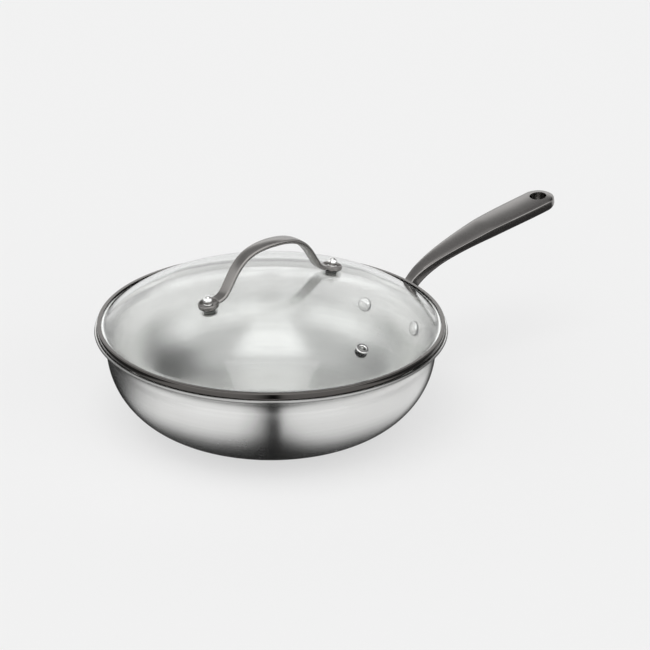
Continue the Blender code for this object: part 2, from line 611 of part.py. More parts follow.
def strap_rings(frame):
    """The lid handle's strap from one eye over the top to the other, symmetric about the lid's axis."""
    eye_middle = frame @ Vector((0, 0, eye_bottom() + EYE_THICKNESS / 2))
    downhill = (frame.to_3x3() @ Vector((1, 0, 0))).normalized()
    top = Vector((0, 0, DOME_TOP + LID_HANDLE_CLEARANCE + STRAP_THICKNESS / 2))
    knee = Vector((LID_HANDLE_SPAN / 2 - KNEE_INSET, 0, DOME_TOP + KNEE_HEIGHT))
    knee_way = Vector((math.cos(KNEE_ANGLE), 0, -math.sin(KNEE_ANGLE)))
    crown_arm = top + Vector((CROWN_ARM, 0, 0))
    side = [bezier(top, crown_arm, knee - SHOULDER_ARM * knee_way, knee, step / CROWN_STATIONS)
            for step in range(CROWN_STATIONS)]
    foot_arm = eye_middle - downhill * FOOT_ARM
    side += [bezier(knee, knee + SHIN_ARM * knee_way, foot_arm, eye_middle, step / LEG_STATIONS)
             for step in range(LEG_STATIONS + 1)]
    points = [Vector((-point.x, 0, point.z)) for point in side[:0:-1]] + side
    rings = []
    for index, point in enumerate(points):
        before = points[max(index - 1, 0)]
        after = points[min(index + 1, len(points) - 1)]
        slope = math.atan2(after.z - before.z, after.x - before.x)
        share = abs(point.x) / eye_middle.x
        width = STRAP_GRIP_WIDTH + (STRAP_FOOT_WIDTH - STRAP_GRIP_WIDTH) * share
        thickness = STRAP_THICKNESS + (EYE_THICKNESS - 2 * FOOT_STEP - STRAP_THICKNESS) * share
        rings.append(section(point, slope, width, thickness, 0.0, STRAP_CHAMFER))
    return rings


def make_lid_handle(parts, tools, finish, frames):
    handle = loft("lid_handle", strap_rings(frames["rear"]), parts, finish)
    low = eye_bottom()
    high = low + EYE_THICKNESS
    floor = high - RECESS_DEPTH
    radius = EYE_DIAMETER / 2
    eye = [(radius - EYE_CHAMFER, high), (radius, high - EYE_CHAMFER)]
    eye += [(radius, low + EYE_CHAMFER), (radius - EYE_CHAMFER, low)]
    recess = RECESS_DIAMETER / 2
    hole = STUD_SHANK / 2 + HOLE_CLEARANCE
    cut = [(recess, high + BORE_EXTRA), (recess, floor), (hole, floor), (hole, 0.0)]
    for name, frame in frames.items():
        combine(handle, plug("eye_" + name, eye, tools, frame), "UNION")
        combine(handle, plug("eye_cut_" + name, cut, tools, frame), "DIFFERENCE")
    return handle


def vent_sizes():
    bore = VENT_BORE / 2
    tube = bore + VENT_TUBE_WALL
    seal_inner = tube + HOLE_CLEARANCE
    seal_outer = seal_inner + VENT_SEAL_WALL
    return bore, tube, seal_inner, seal_outer


def make_vent(frame, parts, finishes):
    bore, tube, seal_inner, seal_outer = vent_sizes()
    flange = VENT_SEAL_FLANGE / 2
    low = CONTACT_GAP
    high = low + VENT_SEAL_THICKNESS
    relief = flange ** 2 / 2 / (SHOULDER_RADIUS - GLASS_THICKNESS)
    under = -GLASS_THICKNESS - CONTACT_GAP - relief
    foot = under - VENT_SEAL_THICKNESS
    outline = [(seal_inner, high), (flange, high), (flange, low), (seal_outer, low), (seal_outer, under)]
    outline += [(flange, under), (flange, foot), (seal_inner, foot)]
    made = [turned("vent_seal", outline, parts, finishes["rubber"], frame, closed=True, steps=SMALL_STEPS)]
    seat = high + CONTACT_GAP
    top = seat + VENT_FLANGE_THICKNESS
    edge = VENT_FLANGE / 2
    rim = 0.5 * VENT_FLANGE_THICKNESS
    outline = [(bore + rim * 0.4, top - rim * 0.1), (bore + rim, top)]
    outline += [(edge - rim, top), (edge - rim * 0.3, top - rim * 0.3), (edge, top - rim), (edge, seat)]
    foot_top = foot - CONTACT_GAP
    foot_low = foot_top - VENT_FOOT_THICKNESS
    outline += [(tube, seat), (tube, foot_top), (VENT_FOOT / 2, foot_top), (VENT_FOOT / 2, foot_low)]
    outline += [(bore, foot_low), (bore, top - rim * 0.5)]
    made.append(turned("vent_eyelet", outline, parts, finishes["polished"], frame, closed=True, steps=SMALL_STEPS))
    return made


def make_lid(parts, tools, finishes):
    frames = {"rear": dome_frame(0.0, LID_HANDLE_SPAN / 2), "front": dome_frame(math.pi, LID_HANDLE_SPAN / 2)}
    vent = dome_frame(-math.pi / 2, GLASS_RADIUS - VENT_INSET)
    stud_hole = STUD_SHANK / 2 + 2 * HOLE_CLEARANCE + SLEEVE_WALL
    vent_hole = vent_sizes()[3] + HOLE_CLEARANCE
    holes = [(name, frame, stud_hole) for name, frame in frames.items()]
    holes.append(("vent", vent, vent_hole))
    made = [make_lid_band(parts, finishes["gunmetal"])]
    made.append(make_lid_glass(parts, tools, finishes["glass"], holes))
    made.append(make_lid_handle(parts, tools, finishes["gunmetal"], frames))
    for name, frame in frames.items():
        made += make_lid_fixings(name, frame, parts, finishes)
    made += make_vent(vent, parts, finishes)
    lift = bpy.data.objects.new("lid_lift", None)
    lift.location = (0, 0, BAND_BOTTOM)
    parts.objects.link(lift)
    bpy.context.view_layer.update()
    for piece in made:
        piece.parent = lift
        piece.matrix_parent_inverse = lift.matrix_world.inverted()


def main():
    for old in list(bpy.data.objects):
        bpy.data.objects.remove(old)
    scene = bpy.context.scene
    parts = bpy.data.collections.new("wok_with_lid")
    tools = bpy.data.collections.new("cutters")
    scene.collection.children.link(parts)
    scene.collection.children.link(tools)
    finishes = {
        "satin": material("satin_steel", (0.62, 0.62, 0.61), 0.32, 1.0),
        "steel": material("bright_steel", (0.70, 0.70, 0.69), 0.22, 1.0),
        "polished": material("polished_steel", (0.82, 0.82, 0.81), 0.10, 1.0),
        "gunmetal": material("gunmetal", (0.16, 0.155, 0.15), 0.30, 1.0),
        "aluminium": material("aluminium", (0.72, 0.73, 0.74), 0.40, 1.0),
        "glass": material("clear_glass", (0.94, 0.96, 0.95), 0.02, 0.0, 1.0),
        "rubber": material("black_silicone", (0.02, 0.02, 0.02), 0.60, 0.0),
        "seal": material("clear_silicone", (0.80, 0.80, 0.78), 0.50, 0.0),
    }
    make_bowl(parts, tools, finishes["satin"])
    make_base(parts, finishes["steel"], finishes["aluminium"])
    make_long_handle(parts, tools, finishes["gunmetal"], finishes["steel"])
    make_lid(parts, tools, finishes)


main()
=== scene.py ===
import math

import bpy
from mathutils import Matrix, Vector


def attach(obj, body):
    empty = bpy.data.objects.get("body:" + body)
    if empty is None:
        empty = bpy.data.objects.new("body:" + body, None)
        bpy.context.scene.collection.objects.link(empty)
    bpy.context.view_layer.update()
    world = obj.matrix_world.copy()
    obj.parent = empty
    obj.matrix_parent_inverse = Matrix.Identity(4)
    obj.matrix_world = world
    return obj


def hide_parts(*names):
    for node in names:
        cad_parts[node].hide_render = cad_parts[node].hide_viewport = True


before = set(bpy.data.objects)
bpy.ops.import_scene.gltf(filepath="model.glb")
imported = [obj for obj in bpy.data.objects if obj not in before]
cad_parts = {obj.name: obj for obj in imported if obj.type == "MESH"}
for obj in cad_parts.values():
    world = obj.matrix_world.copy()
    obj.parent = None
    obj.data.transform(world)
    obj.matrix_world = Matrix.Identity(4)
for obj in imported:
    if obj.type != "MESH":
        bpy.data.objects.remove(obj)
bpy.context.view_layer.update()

mm = 0.001
mergeDistance = 0.002 * mm
print("frame loaded")


def sine(angle):
    return math.sin(math.radians(angle))


def cosine(angle):
    return math.cos(math.radians(angle))


def between(first, last, share):
    return first + (last - first) * share


def bezier(start, startArm, endArm, end, part):
    rest = 1 - part
    return (rest ** 3 * start + 3 * rest ** 2 * part * startArm
            + 3 * rest * part ** 2 * endArm + part ** 3 * end)


# Outlines are drawn point by point, as (radius, height) in millimetres, and then spun or bridged
def onCircle(centre, radius, turn):
    return centre[0] + radius * cosine(turn), centre[1] + radius * sine(turn)


def arc(centre, radius, start, end, steps):
    return [onCircle(centre, radius, start + (end - start) * step / steps) for step in range(steps + 1)]


def roundTop(reach, height, size, steps):
    # the rounded upper edge of a part that ends at this reach and height
    return arc((reach - size, height - size), size, 90, 0, steps)


def roundLow(reach, height, size, steps):
    return arc((reach - size, height + size), size, 0, -90, steps)


def tailDome(radius, base, height, turns):
    # the riveted-over end of a shank; a height below zero turns it down
    return [(radius * sine(turn), base + height * cosine(turn)) for turn in turns]


def selectAll():
    bpy.ops.mesh.select_all(action="SELECT")


def extrude(way):
    bpy.ops.mesh.extrude_region_move(TRANSFORM_OT_translate={"value": way})


def startDrawing(name, point):
    bpy.ops.object.select_all(action="DESELECT")
    bpy.ops.mesh.primitive_plane_add(size=mm)
    piece = bpy.context.object
    piece.name = name
    piece.data.name = name
    bpy.ops.object.mode_set(mode="EDIT")
    selectAll()
    bpy.ops.mesh.merge(type="CENTER")
    bpy.ops.transform.translate(value=point)
    return piece


def drawLine(points):
    for near, far in zip(points, points[1:]):
        extrude(far - near)


def drawFace(name, points):
    piece = startDrawing(name, points[0])
    drawLine(points)
    selectAll()
    bpy.ops.mesh.edge_face_add()
    return piece


def closeUp():
    # doubles merged, holes filled, faces turned outwards
    selectAll()
    bpy.ops.mesh.remove_doubles(threshold=mergeDistance)
    bpy.ops.mesh.select_all(action="DESELECT")
    bpy.ops.mesh.select_non_manifold()
    bpy.ops.mesh.fill_holes(sides=0)
    selectAll()
    bpy.ops.mesh.normals_make_consistent(inside=False)
    bpy.ops.object.mode_set(mode="OBJECT")


def spinPiece(name, outline, sides, closed=False, sweep=math.tau):
    points = [Vector((radius * mm, 0, height * mm)) for radius, height in outline]
    if closed:
        points.append(points[0])
    if sweep < math.tau:
        turn = Matrix.Rotation(-sweep / 2, 3, "Z")
        points = [turn @ point for point in points]
    piece = startDrawing(name, points[0])
    drawLine(points)
    selectAll()
    bpy.ops.mesh.spin(steps=sides, angle=sweep, center=(0, 0, 0), axis=(0, 0, 1))
    closeUp()
    return piece


def bridgePiece(name, rings):
    # a closed bar through rings that have as many points each
    piece = startDrawing(name, rings[0][0])
    for ring, following in zip(rings, rings[1:] + [None]):
        drawLine(ring + [ring[0]])
        if following:
            bpy.ops.mesh.duplicate_move(TRANSFORM_OT_translate={"value": following[0] - ring[0]})
    selectAll()
    bpy.ops.mesh.remove_doubles(threshold=mergeDistance)
    bpy.ops.mesh.bridge_edge_loops()
    closeUp()
    return piece


def selectAlone(piece):
    bpy.ops.object.select_all(action="DESELECT")
    bpy.context.view_layer.objects.active = piece
    piece.select_set(True)


def putInPlace(piece, place):
    selectAlone(piece)
    piece.matrix_world = place
    bpy.ops.object.transform_apply()
    return piece


def applyChange(piece, kind, **settings):
    change = piece.modifiers.new(kind.title(), kind)
    for name, value in settings.items():
        setattr(change, name, value)
    selectAlone(piece)
    bpy.ops.object.modifier_apply(modifier=change.name)


def joinTo(piece, tools, operation="UNION"):
    for tool in tools:
        applyChange(piece, "BOOLEAN", object=tool, operation=operation, solver="EXACT")
        bpy.data.objects.remove(tool)


def smooth(piece, angle=32):
    selectAlone(piece)
    bpy.ops.object.shade_smooth_by_angle(angle=math.radians(angle))


def cutSmooth(piece, tools, angle=32):
    # holes cut with the shading of the whole surface kept round them
    smooth(piece, angle)
    whole = piece.copy()
    whole.data = piece.data.copy()
    bpy.context.scene.collection.objects.link(whole)
    joinTo(piece, tools, "DIFFERENCE")
    applyChange(piece, "DATA_TRANSFER", object=whole, use_loop_data=True, data_types_loops={"CUSTOM_NORMAL"},
                loop_mapping="POLYINTERP_NEAREST")
    bpy.data.objects.remove(whole)


def plug(name, radius, low, high, place, sides=48):
    return putInPlace(spinPiece(name, [(radius, high), (radius, low)], sides), place)


def plugs(name, radius, low, high, places, sides=48):
    return [plug(name + key, radius, low, high, place, sides) for key, place in places.items()]


def finishPiece(piece, body, material, nodes):
    piece.data.materials.clear()
    piece.data.materials.append(material)
    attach(piece, body)
    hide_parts(*nodes)


def addFitting(name, outline, closed, place, body, material, node):
    made = putInPlace(spinPiece(name, outline, 64, closed), place)
    smooth(made, 40)
    finishPiece(made, body, material, [node])


# Materials: groups give fine lines, broad tone and wear, each material mixes its own
def feed(tree, made, inputs):
    # another node's output is linked, anything else becomes the input's value
    for label, value in inputs.items():
        socket = made.inputs[label]
        if isinstance(value, bpy.types.NodeSocket):
            tree.links.new(value, socket)
        else:
            socket.default_value = (*value, 1) if socket.type == "RGBA" else value


def addNode(tree, kind, inputs, output=0, **settings):
    made = tree.nodes.new("ShaderNode" + kind)
    for name, value in settings.items():
        setattr(made, name, value)
    feed(tree, made, inputs)
    return made.outputs[output]


def addMath(tree, operation, *values):
    return addNode(tree, "Math", dict(enumerate(values)), operation=operation)


def times(tree, first, second):
    return addMath(tree, "MULTIPLY", first, second)


def addVector(tree, operation, *values):
    output = "Value" if operation in ("LENGTH", "DOT_PRODUCT") else "Vector"
    return addNode(tree, "VectorMath", dict(enumerate(values)), output, operation=operation)


def alongWay(tree, vector, way):
    return addVector(tree, "DOT_PRODUCT", vector, way)


def given(tree, kind):
    return tree.nodes.new("ShaderNode" + kind).outputs


def objectPlace(tree):
    return given(tree, "TexCoord")["Object"]


def scaledPlace(tree, size):
    return addNode(tree, "VectorMath", {"Vector": objectPlace(tree), "Scale": size}, operation="SCALE")


def flatPlace(tree):
    # the object's coordinates without the height
    return addVector(tree, "MULTIPLY", objectPlace(tree), (1, 1, 0))


def splitPlace(tree):
    split = tree.nodes.new("ShaderNodeSeparateXYZ")
    tree.links.new(objectPlace(tree), split.inputs[0])
    return split.outputs


def radiusOf(tree, first, second):
    # the distance from the axis
    squares = [times(tree, value, value) for value in (first, second)]
    return addMath(tree, "SQRT", addMath(tree, "ADD", *squares))


def addNoise(tree, vector, w=None, detail=2.0, roughness=0.5):
    inputs = {"Vector": vector, "Scale": 1.0, "Detail": detail, "Roughness": roughness}
    if w is None:
        return addNode(tree, "TexNoise", inputs, "Fac")
    return addNode(tree, "TexNoise", {**inputs, "W": w}, "Fac", noise_dimensions="4D")


def newGroup(name, inputs, outputs):
    group = bpy.data.node_groups.new(name, "ShaderNodeTree")
    for label, value in inputs.items():
        socket = group.interface.new_socket(name=label, in_out="INPUT", socket_type="NodeSocketFloat")
        socket.default_value = value
    for label in outputs:
        group.interface.new_socket(name=label, in_out="OUTPUT", socket_type="NodeSocketFloat")
    entry = group.nodes.new("NodeGroupInput")
    leave = group.nodes.new("NodeGroupOutput")
    return group, entry.outputs, leave.inputs


def turnedMarks():
    # lines that run round the Z axis, as a spun or lathe-brushed sheet has them
    axisRadius = 0.002
    broadShare = 0.08
    group, entry, leave = newGroup("turnedMarks", {"Lines": 1500.0, "Rings": 420.0, "Strokes": 5.0},
                                   ("Fine", "Broad"))
    x, y, z = splitPlace(group)
    radius = radiusOf(group, x, y)
    safe = addMath(group, "MAXIMUM", radius, axisRadius)
    strokes = [times(group, addMath(group, "DIVIDE", value, safe), entry["Strokes"]) for value in (x, y)]
    for label, size, share, detail in (("Fine", "Lines", 1.0, 2.0), ("Broad", "Rings", broadShare, 3.0)):
        parts = [times(group, stroke, share) for stroke in strokes]
        parts.append(times(group, radius, entry[size]))
        ring = addNode(group, "CombineXYZ", dict(enumerate(parts)))
        height = times(group, z, entry[size])
        group.links.new(addNoise(group, ring, height, detail), leave[label])
    return group


def grainMarks():
    # brushed lines along X, as on a forged bar that was finished on a belt
    group, entry, leave = newGroup("grainMarks", {"Lines": 2200.0, "Length": 60.0, "Patches": 60.0},
                                   ("Fine", "Broad"))
    parts = [times(group, value, entry[size])
             for value, size in zip(splitPlace(group), ("Length", "Lines", "Lines"))]
    line = addNode(group, "CombineXYZ", dict(enumerate(parts)))
    group.links.new(addNoise(group, line), leave["Fine"])
    group.links.new(addNoise(group, scaledPlace(group, entry["Patches"]), detail=3.0), leave["Broad"])
    return group


def smudgeMarks():
    # faint wipe marks that a handled surface keeps
    bareBelow = 0.45
    group, entry, leave = newGroup("smudgeMarks", {"Size": 45.0, "Amount": 0.5}, ("Mask",))
    cloud = addNoise(group, scaledPlace(group, entry["Size"]), detail=4.0, roughness=0.6)
    held = addMath(group, "MAXIMUM", addMath(group, "SUBTRACT", cloud, bareBelow), 0.0)
    group.links.new(times(group, held, entry["Amount"]), leave["Mask"])
    return group


turned = turnedMarks()
grained = grainMarks()
smudged = smudgeMarks()


def newMaterial(name):
    made = bpy.data.materials.new(name)
    made.use_nodes = True
    return made, made.node_tree, made.node_tree.nodes["Principled BSDF"]


def placeGroup(tree, group, **values):
    made = tree.nodes.new("ShaderNodeGroup")
    made.node_tree = group
    feed(tree, made, values)
    return made.outputs


def mapRange(tree, value, *limits, kind="LINEAR"):
    inputs = dict(zip(("Value", "From Min", "From Max", "To Min", "To Max"), (value, *limits)))
    return addNode(tree, "MapRange", inputs, "Result", interpolation_type=kind)


def rangeTo(tree, value, low, high):
    # nearly all of a noise lies between 0.3 and 0.7
    return mapRange(tree, value, 0.3, 0.7, low, high)


def fade(tree, value, *limits):
    return mapRange(tree, value, *limits, kind="SMOOTHSTEP")


def mixColour(tree, factor, dark, light):
    return addNode(tree, "Mix", {"Factor": factor, "A": dark, "B": light}, "Result", data_type="RGBA")


def addBump(tree, shader, height, strength, distance):
    inputs = {"Height": height, "Strength": strength, "Distance": distance * mm}
    bump = addNode(tree, "Bump", inputs, "Normal")
    tree.links.new(bump, shader.inputs["Normal"])


def seenEdgeOn(tree):
    return addNode(tree, "LayerWeight", {"Blend": 0.5}, "Facing")


metal = {"wear": {"Size": 38.0, "Amount": 0.08}, "brushDepth": 0.02, "stretchTurn": 0.25}


def brushedMetal(name, marks, dark, light, rough, bump, stretch=0.0, lines=0.25, **sizes):
    # lines is the share of the fine marks in the tone, the broad ones give the rest
    made, tree, shader = newMaterial(name)
    brush = placeGroup(tree, marks, **sizes)
    smudge = placeGroup(tree, smudged, **metal["wear"])
    tone = addMath(tree, "ADD", times(tree, brush["Fine"], lines), times(tree, brush["Broad"], 1.0 - lines))
    feed(tree, shader, {
        "Base Color": mixColour(tree, rangeTo(tree, tone, 0.0, 1.0), dark, light),
        "Roughness": addMath(tree, "ADD", rangeTo(tree, brush["Fine"], *rough), smudge["Mask"]),
        "Metallic": 1.0, "Anisotropic": stretch, "Anisotropic Rotation": metal["stretchTurn"]})
    addBump(tree, shader, brush["Fine"], bump, metal["brushDepth"])
    if stretch:
        tangent = addNode(tree, "Tangent", {}, direction_type="RADIAL", axis="Z")
        tree.links.new(tangent, shader.inputs["Tangent"])
    return made


def shadeByRadius(material, start, end, shade):
    # the colour turns to shade between two distances from the axis
    tree = material.node_tree
    mask = mapRange(tree, addVector(tree, "LENGTH", flatPlace(tree)), start * mm, end * mm)
    colour = tree.nodes["Principled BSDF"].inputs["Base Color"]
    tree.links.new(mixColour(tree, mask, colour.links[0].from_socket, shade), colour)


def darkenOutline(material, start, end, shade):
    # painted reflection: the specular tint darkens on outer walls seen edge-on, in place of the dark sides of
    # the studio that they would mirror
    outerStarts, outerFull = 0.1, 0.4
    tree = material.node_tree
    outwards = addVector(tree, "NORMALIZE", flatPlace(tree))
    outer = alongWay(tree, outwards, given(tree, "NewGeometry")["Normal"])
    amount = times(tree, fade(tree, outer, outerStarts, outerFull), fade(tree, seenEdgeOn(tree), start, end))
    tint = tree.nodes["Principled BSDF"].inputs["Specular Tint"]
    tree.links.new(mixColour(tree, amount, (1, 1, 1), shade), tint)


bowlSteel = brushedMetal("bowlSteel", turned, (0.775, 0.775, 0.765), (0.825, 0.825, 0.815),
                         rough=(0.24, 0.26), bump=0.01, stretch=0.85, lines=0.0, Strokes=2.0)
# painted shade: the upper edge of the lip is darkened where the lid's band shades it
shadeByRadius(bowlSteel, start=145.8, end=146.3, shade=(0.34, 0.34, 0.335))
# painted reflection: dark edges where the bowl's outer wall is seen edge-on
darkenOutline(bowlSteel, start=0.70, end=0.90, shade=(0.03,) * 3)
capSteel = brushedMetal("capSteel", turned, (0.70, 0.70, 0.69), (0.75, 0.75, 0.74),
                        rough=(0.18, 0.24), bump=0.04, stretch=0.5)
rivetSteel = brushedMetal("rivetSteel", grained, (0.76, 0.76, 0.75), (0.82, 0.82, 0.81),
                          rough=(0.20, 0.26), bump=0.05)
darkSteel = brushedMetal("darkSteel", grained, (0.215, 0.206, 0.20), (0.255, 0.245, 0.238),
                         rough=(0.18, 0.24), bump=0.08, lines=0.5, Length=45.0)
strapSteel = brushedMetal("strapSteel", grained, (0.25, 0.24, 0.232), (0.29, 0.279, 0.27),
                          rough=(0.19, 0.25), bump=0.08, lines=0.5, Length=45.0)
bandSteel = brushedMetal("bandSteel", turned, (0.10, 0.094, 0.089), (0.125, 0.119, 0.113),
                         rough=(0.08, 0.12), bump=0.02)
shadeByRadius(bandSteel, start=141.0, end=140.0, shade=(0.80, 0.80, 0.79))
polishedSteel = brushedMetal("polishedSteel", grained, (0.86, 0.86, 0.85), (0.90, 0.90, 0.89),
                             rough=(0.13, 0.17), bump=0.02)
discAluminium = brushedMetal("discAluminium", turned, (0.68, 0.69, 0.70), (0.75, 0.76, 0.77),
                             rough=(0.30, 0.40), bump=0.08)


def clearGlass():
    # painted shade: the glass's colour greys where it is seen edge-on, in place of its being thicker to look
    # through near its outline
    made, tree, shader = newMaterial("clearGlass")
    greyStarts, greyFull = 0.76, 0.99
    edgeOnGrey = fade(tree, seenEdgeOn(tree), greyStarts, greyFull)
    smudge = placeGroup(tree, smudged, Size=22.0, Amount=0.05)
    feed(tree, shader, {"Base Color": mixColour(tree, edgeOnGrey, (0.985, 0.995, 0.99), (0.5, 0.52, 0.51)),
                        "Roughness": smudge["Mask"], "Transmission Weight": 1.0, "IOR": 1.5})
    return made


def silicone(name, dark, light, rough, bump, size, optics):
    made, tree, shader = newMaterial(name)
    cloud = placeGroup(tree, smudged, Size=size, Amount=1.0)["Mask"]
    feed(tree, shader, {"Base Color": mixColour(tree, cloud, dark, light),
                        "Roughness": rangeTo(tree, cloud, *rough), **optics})
    addBump(tree, shader, cloud, bump, distance=0.05)
    return made


glassClear = clearGlass()
siliconeClear = silicone("clearSilicone", (0.80, 0.80, 0.785), (0.86, 0.86, 0.845), rough=(0.4, 0.5),
                         bump=0.1, size=600.0, optics={"Transmission Weight": 0.5, "IOR": 1.41})
siliconeBlack = silicone("blackSilicone", (0.012,) * 3, (0.05,) * 3, rough=(0.5, 0.65),
                         bump=0.2, size=900.0, optics={})
print("materials made")


# Wok bowl
wok = {"wallRadius": 137.2, "sheet": 2.3, "straight": 0.6, "lipReach": 9.8, "lipHeight": 84.0,
       "flareAngle": 72.0, "lipRound": 0.7, "floorHeight": 4.5, "gap": 0.3, "sides": 240, "flareSteps": 16,
       "cornerSteps": 40, "lipSteps": 5, "flatShares": (0.75, 0.5, 0.25, 0.0)}
flareRadius = wok["lipReach"] / (1 - cosine(wok["flareAngle"]))
flareStart = wok["lipHeight"] - flareRadius * sine(wok["flareAngle"])
cornerTop = flareStart - wok["straight"]
cornerRadius = cornerTop - wok["floorHeight"]
flatRadius = wok["wallRadius"] - cornerRadius
flareCentre = (wok["wallRadius"] + flareRadius, flareStart)
lipRadius = wok["wallRadius"] + wok["lipReach"]
gap = wok["gap"]


def bowlSide(offset):
    # from the lip down to the axis, moved out by offset from the outside of the sheet
    side = arc(flareCentre, flareRadius - offset, 180 - wok["flareAngle"], 180, wok["flareSteps"])
    side += arc((flatRadius, cornerTop), cornerRadius + offset, 0, -90, wok["cornerSteps"])
    height = wok["floorHeight"] - offset
    return side + [(flatRadius * share, height) for share in wok["flatShares"]]


def lipEdge():
    points = []
    turns = [90 * step / wok["lipSteps"] for step in range(wok["lipSteps"] + 1)]
    for side, angles in ((1, turns), (-1, turns[::-1])):
        for angle in angles:
            inward = wok["lipRound"] * (1 - sine(angle))
            across = wok["sheet"] / 2 - wok["lipRound"] * (1 - cosine(angle))
            radius = flareRadius + wok["sheet"] / 2 + side * across
            lean = 180 - wok["flareAngle"] + math.degrees(inward / radius)
            points.append(onCircle(flareCentre, radius, lean))
    return points


def wallPoint(distance, offset):
    # a point on the wall, this far below the flare and outside of the sheet
    if distance <= wok["straight"]:
        return wok["wallRadius"] + offset, flareStart - distance
    turn = (distance - wok["straight"]) / cornerRadius
    reach = cornerRadius + offset
    return flatRadius + reach * math.cos(turn), cornerTop - reach * math.sin(turn)


plate = {"drop": 0.8, "height": 24.0, "thickness": 4.0, "margin": 11.0, "rivetSpacing": 67.0,
         "edgeRound": 0.8, "steps": 16, "sides": 48, "endSteps": 24, "spareAngle": 4.0, "trimFrom": 90.0,
         "trimDepth": 80.0, "roundSegments": 3, "roundAngle": 50}
plateMiddle = plate["drop"] + plate["height"] / 2
rivet = {"shank": 5.0, "head": 12.4, "headHeight": 2.4, "headFullness": 0.6, "tail": 9.0, "tailHeight": 2.0,
         "hole": 5.6}


def rivetPlaces():
    radius, height = wallPoint(plateMiddle, 0.0)
    tilt = (plateMiddle - wok["straight"]) / cornerRadius
    turn = math.asin(plate["rivetSpacing"] / 2 / radius)
    upright = Matrix.Translation((radius * mm, 0, height * mm)) @ Matrix.Rotation(math.pi / 2 + tilt, 4, "Y")
    return {side: Matrix.Rotation(sign * turn, 4, "Z") @ upright
            for side, sign in (("Left", 1), ("Right", -1))}


outline = bowlSide(-wok["sheet"])[::-1][:-1] + lipEdge() + bowlSide(0.0)[1:]
wokBowl = spinPiece("wokBowl", outline, wok["sides"])
cutSmooth(wokBowl, plugs("rivetHole", rivet["hole"] / 2, low=-8, high=8, places=rivetPlaces()))
finishPiece(wokBowl, "pan", bowlSteel, ["wok_bowl"])
print("bowl made")


# Base cap
cap = {"sheet": 0.6, "round": 2.4, "inset": 1.6, "gap": 0.3, "sides": 192}
capRadius = flatRadius - cap["inset"]
capTop = wok["floorHeight"] - cap["gap"]
outline = [(0, cap["sheet"]), (capRadius / 2, cap["sheet"])]
outline += arc((capRadius - cap["round"], cap["round"]), cap["round"] - cap["sheet"], -90, 0, 8)
outline += [(capRadius - cap["sheet"], capTop), (capRadius, capTop)]
outline += roundLow(capRadius, 0, cap["round"], 10) + [(capRadius / 2, 0), (0, 0)]
baseCap = spinPiece("baseCap", outline, cap["sides"])
smooth(baseCap)
finishPiece(baseCap, "pan", capSteel, ["base_cap"])


# Handle rivets; relief lets the rim of the flat head clear the curved wall
seat = plate["thickness"] + 2 * gap
inner = -wok["sheet"] - 2 * gap
head = rivet["head"] / 2
relief = head ** 2 / 2 / (cornerRadius - wok["sheet"]) + head ** 2 / 2 / (wok["wallRadius"] - wok["sheet"])
outline = tailDome(rivet["tail"] / 2, seat, rivet["tailHeight"], range(0, 91, 10))
outline += [(rivet["shank"] / 2, seat), (rivet["shank"] / 2, inner), (head, inner - relief)]
outline += [(head * cosine(turn) ** rivet["headFullness"],
             inner - relief - (rivet["headHeight"] - relief) * sine(turn)) for turn in range(12, 90, 11)]
outline.append((0, inner - rivet["headHeight"]))
for side, place in rivetPlaces().items():
    addFitting("handleRivet" + side, outline, False, place, "pan", rivetSteel,
               "handle_rivet_" + side.lower())
print("base and rivets made")


# Long handle: the stem's rings, from the plate up past the lip and along to the tip
stem = {"neckClearance": 3.2, "neckWidth": 9.2, "neckDepth": 10.8, "neckRise": 0.3, "neckAngle": 45.2,
        "neckArm": 38.4, "rootWidth": 26.0, "rootDepth": 14.0, "rootAngle": 35.0, "rootArm": 11.0,
        "length": 170.4, "rise": 41.4, "gripAngle": 14.4, "gripArm": 30.1, "gripWidth": 29.8,
        "gripDepth": 10.1, "waistDepth": 8.0, "waistSpread": 1.6, "swellLength": 132.7, "tipLength": 15.0,
        "tipWidth": 0.12, "tipDepth": 0.55, "tipSwell": 0.45, "crown": 1.2, "chamfer": 0.7, "hole": 15.0,
        "holeInset": 14.8, "stations": 72, "stationSpread": 1.35, "rootStations": 12}
# a bar's edge in chamfers inwards and down, the points over its crown and the roundness of its belly
bar = {"edge": ((0, 1.6), (0.15, 0.95), (0.5, 0.4)), "crownShares": (0.88, 0.66, 0.44, 0.22, 0.0),
       "belly": 0.45, "bellySteps": 6}


def barRing(middle, slope, width, depth, crown, chamfer, drop=0.0):
    # crowned on top, ridged at the edges, round below; drop lowers the edges under a crown
    half = width / 2
    top = depth / 2 - drop
    belly = min(half, depth) * bar["belly"]
    points = [(half - chamfer * inward, top - chamfer * down) for inward, down in bar["edge"]]
    points += [(half * share, top + crown * (1 - share ** 2)) for share in bar["crownShares"]]
    points += [(-across, height) for across, height in points[-2::-1]]
    bottom = belly - depth / 2
    points += arc((belly - half, bottom), belly, 180, 270, bar["bellySteps"])
    points += arc((half - belly, bottom), belly, 270, 360, bar["bellySteps"])
    along = Vector((-math.sin(slope), 0, math.cos(slope)))
    return [(middle + Vector((0, across, 0)) + along * height) * mm for across, height in points]


def uphill(angle):
    return Vector((cosine(angle), 0, sine(angle)))


def slopes(line):
    ways = [after - before for before, after in zip(line[:1] + line, line[1:] + line[-1:])]
    return [math.atan2(way.z, way.x) for way in ways]


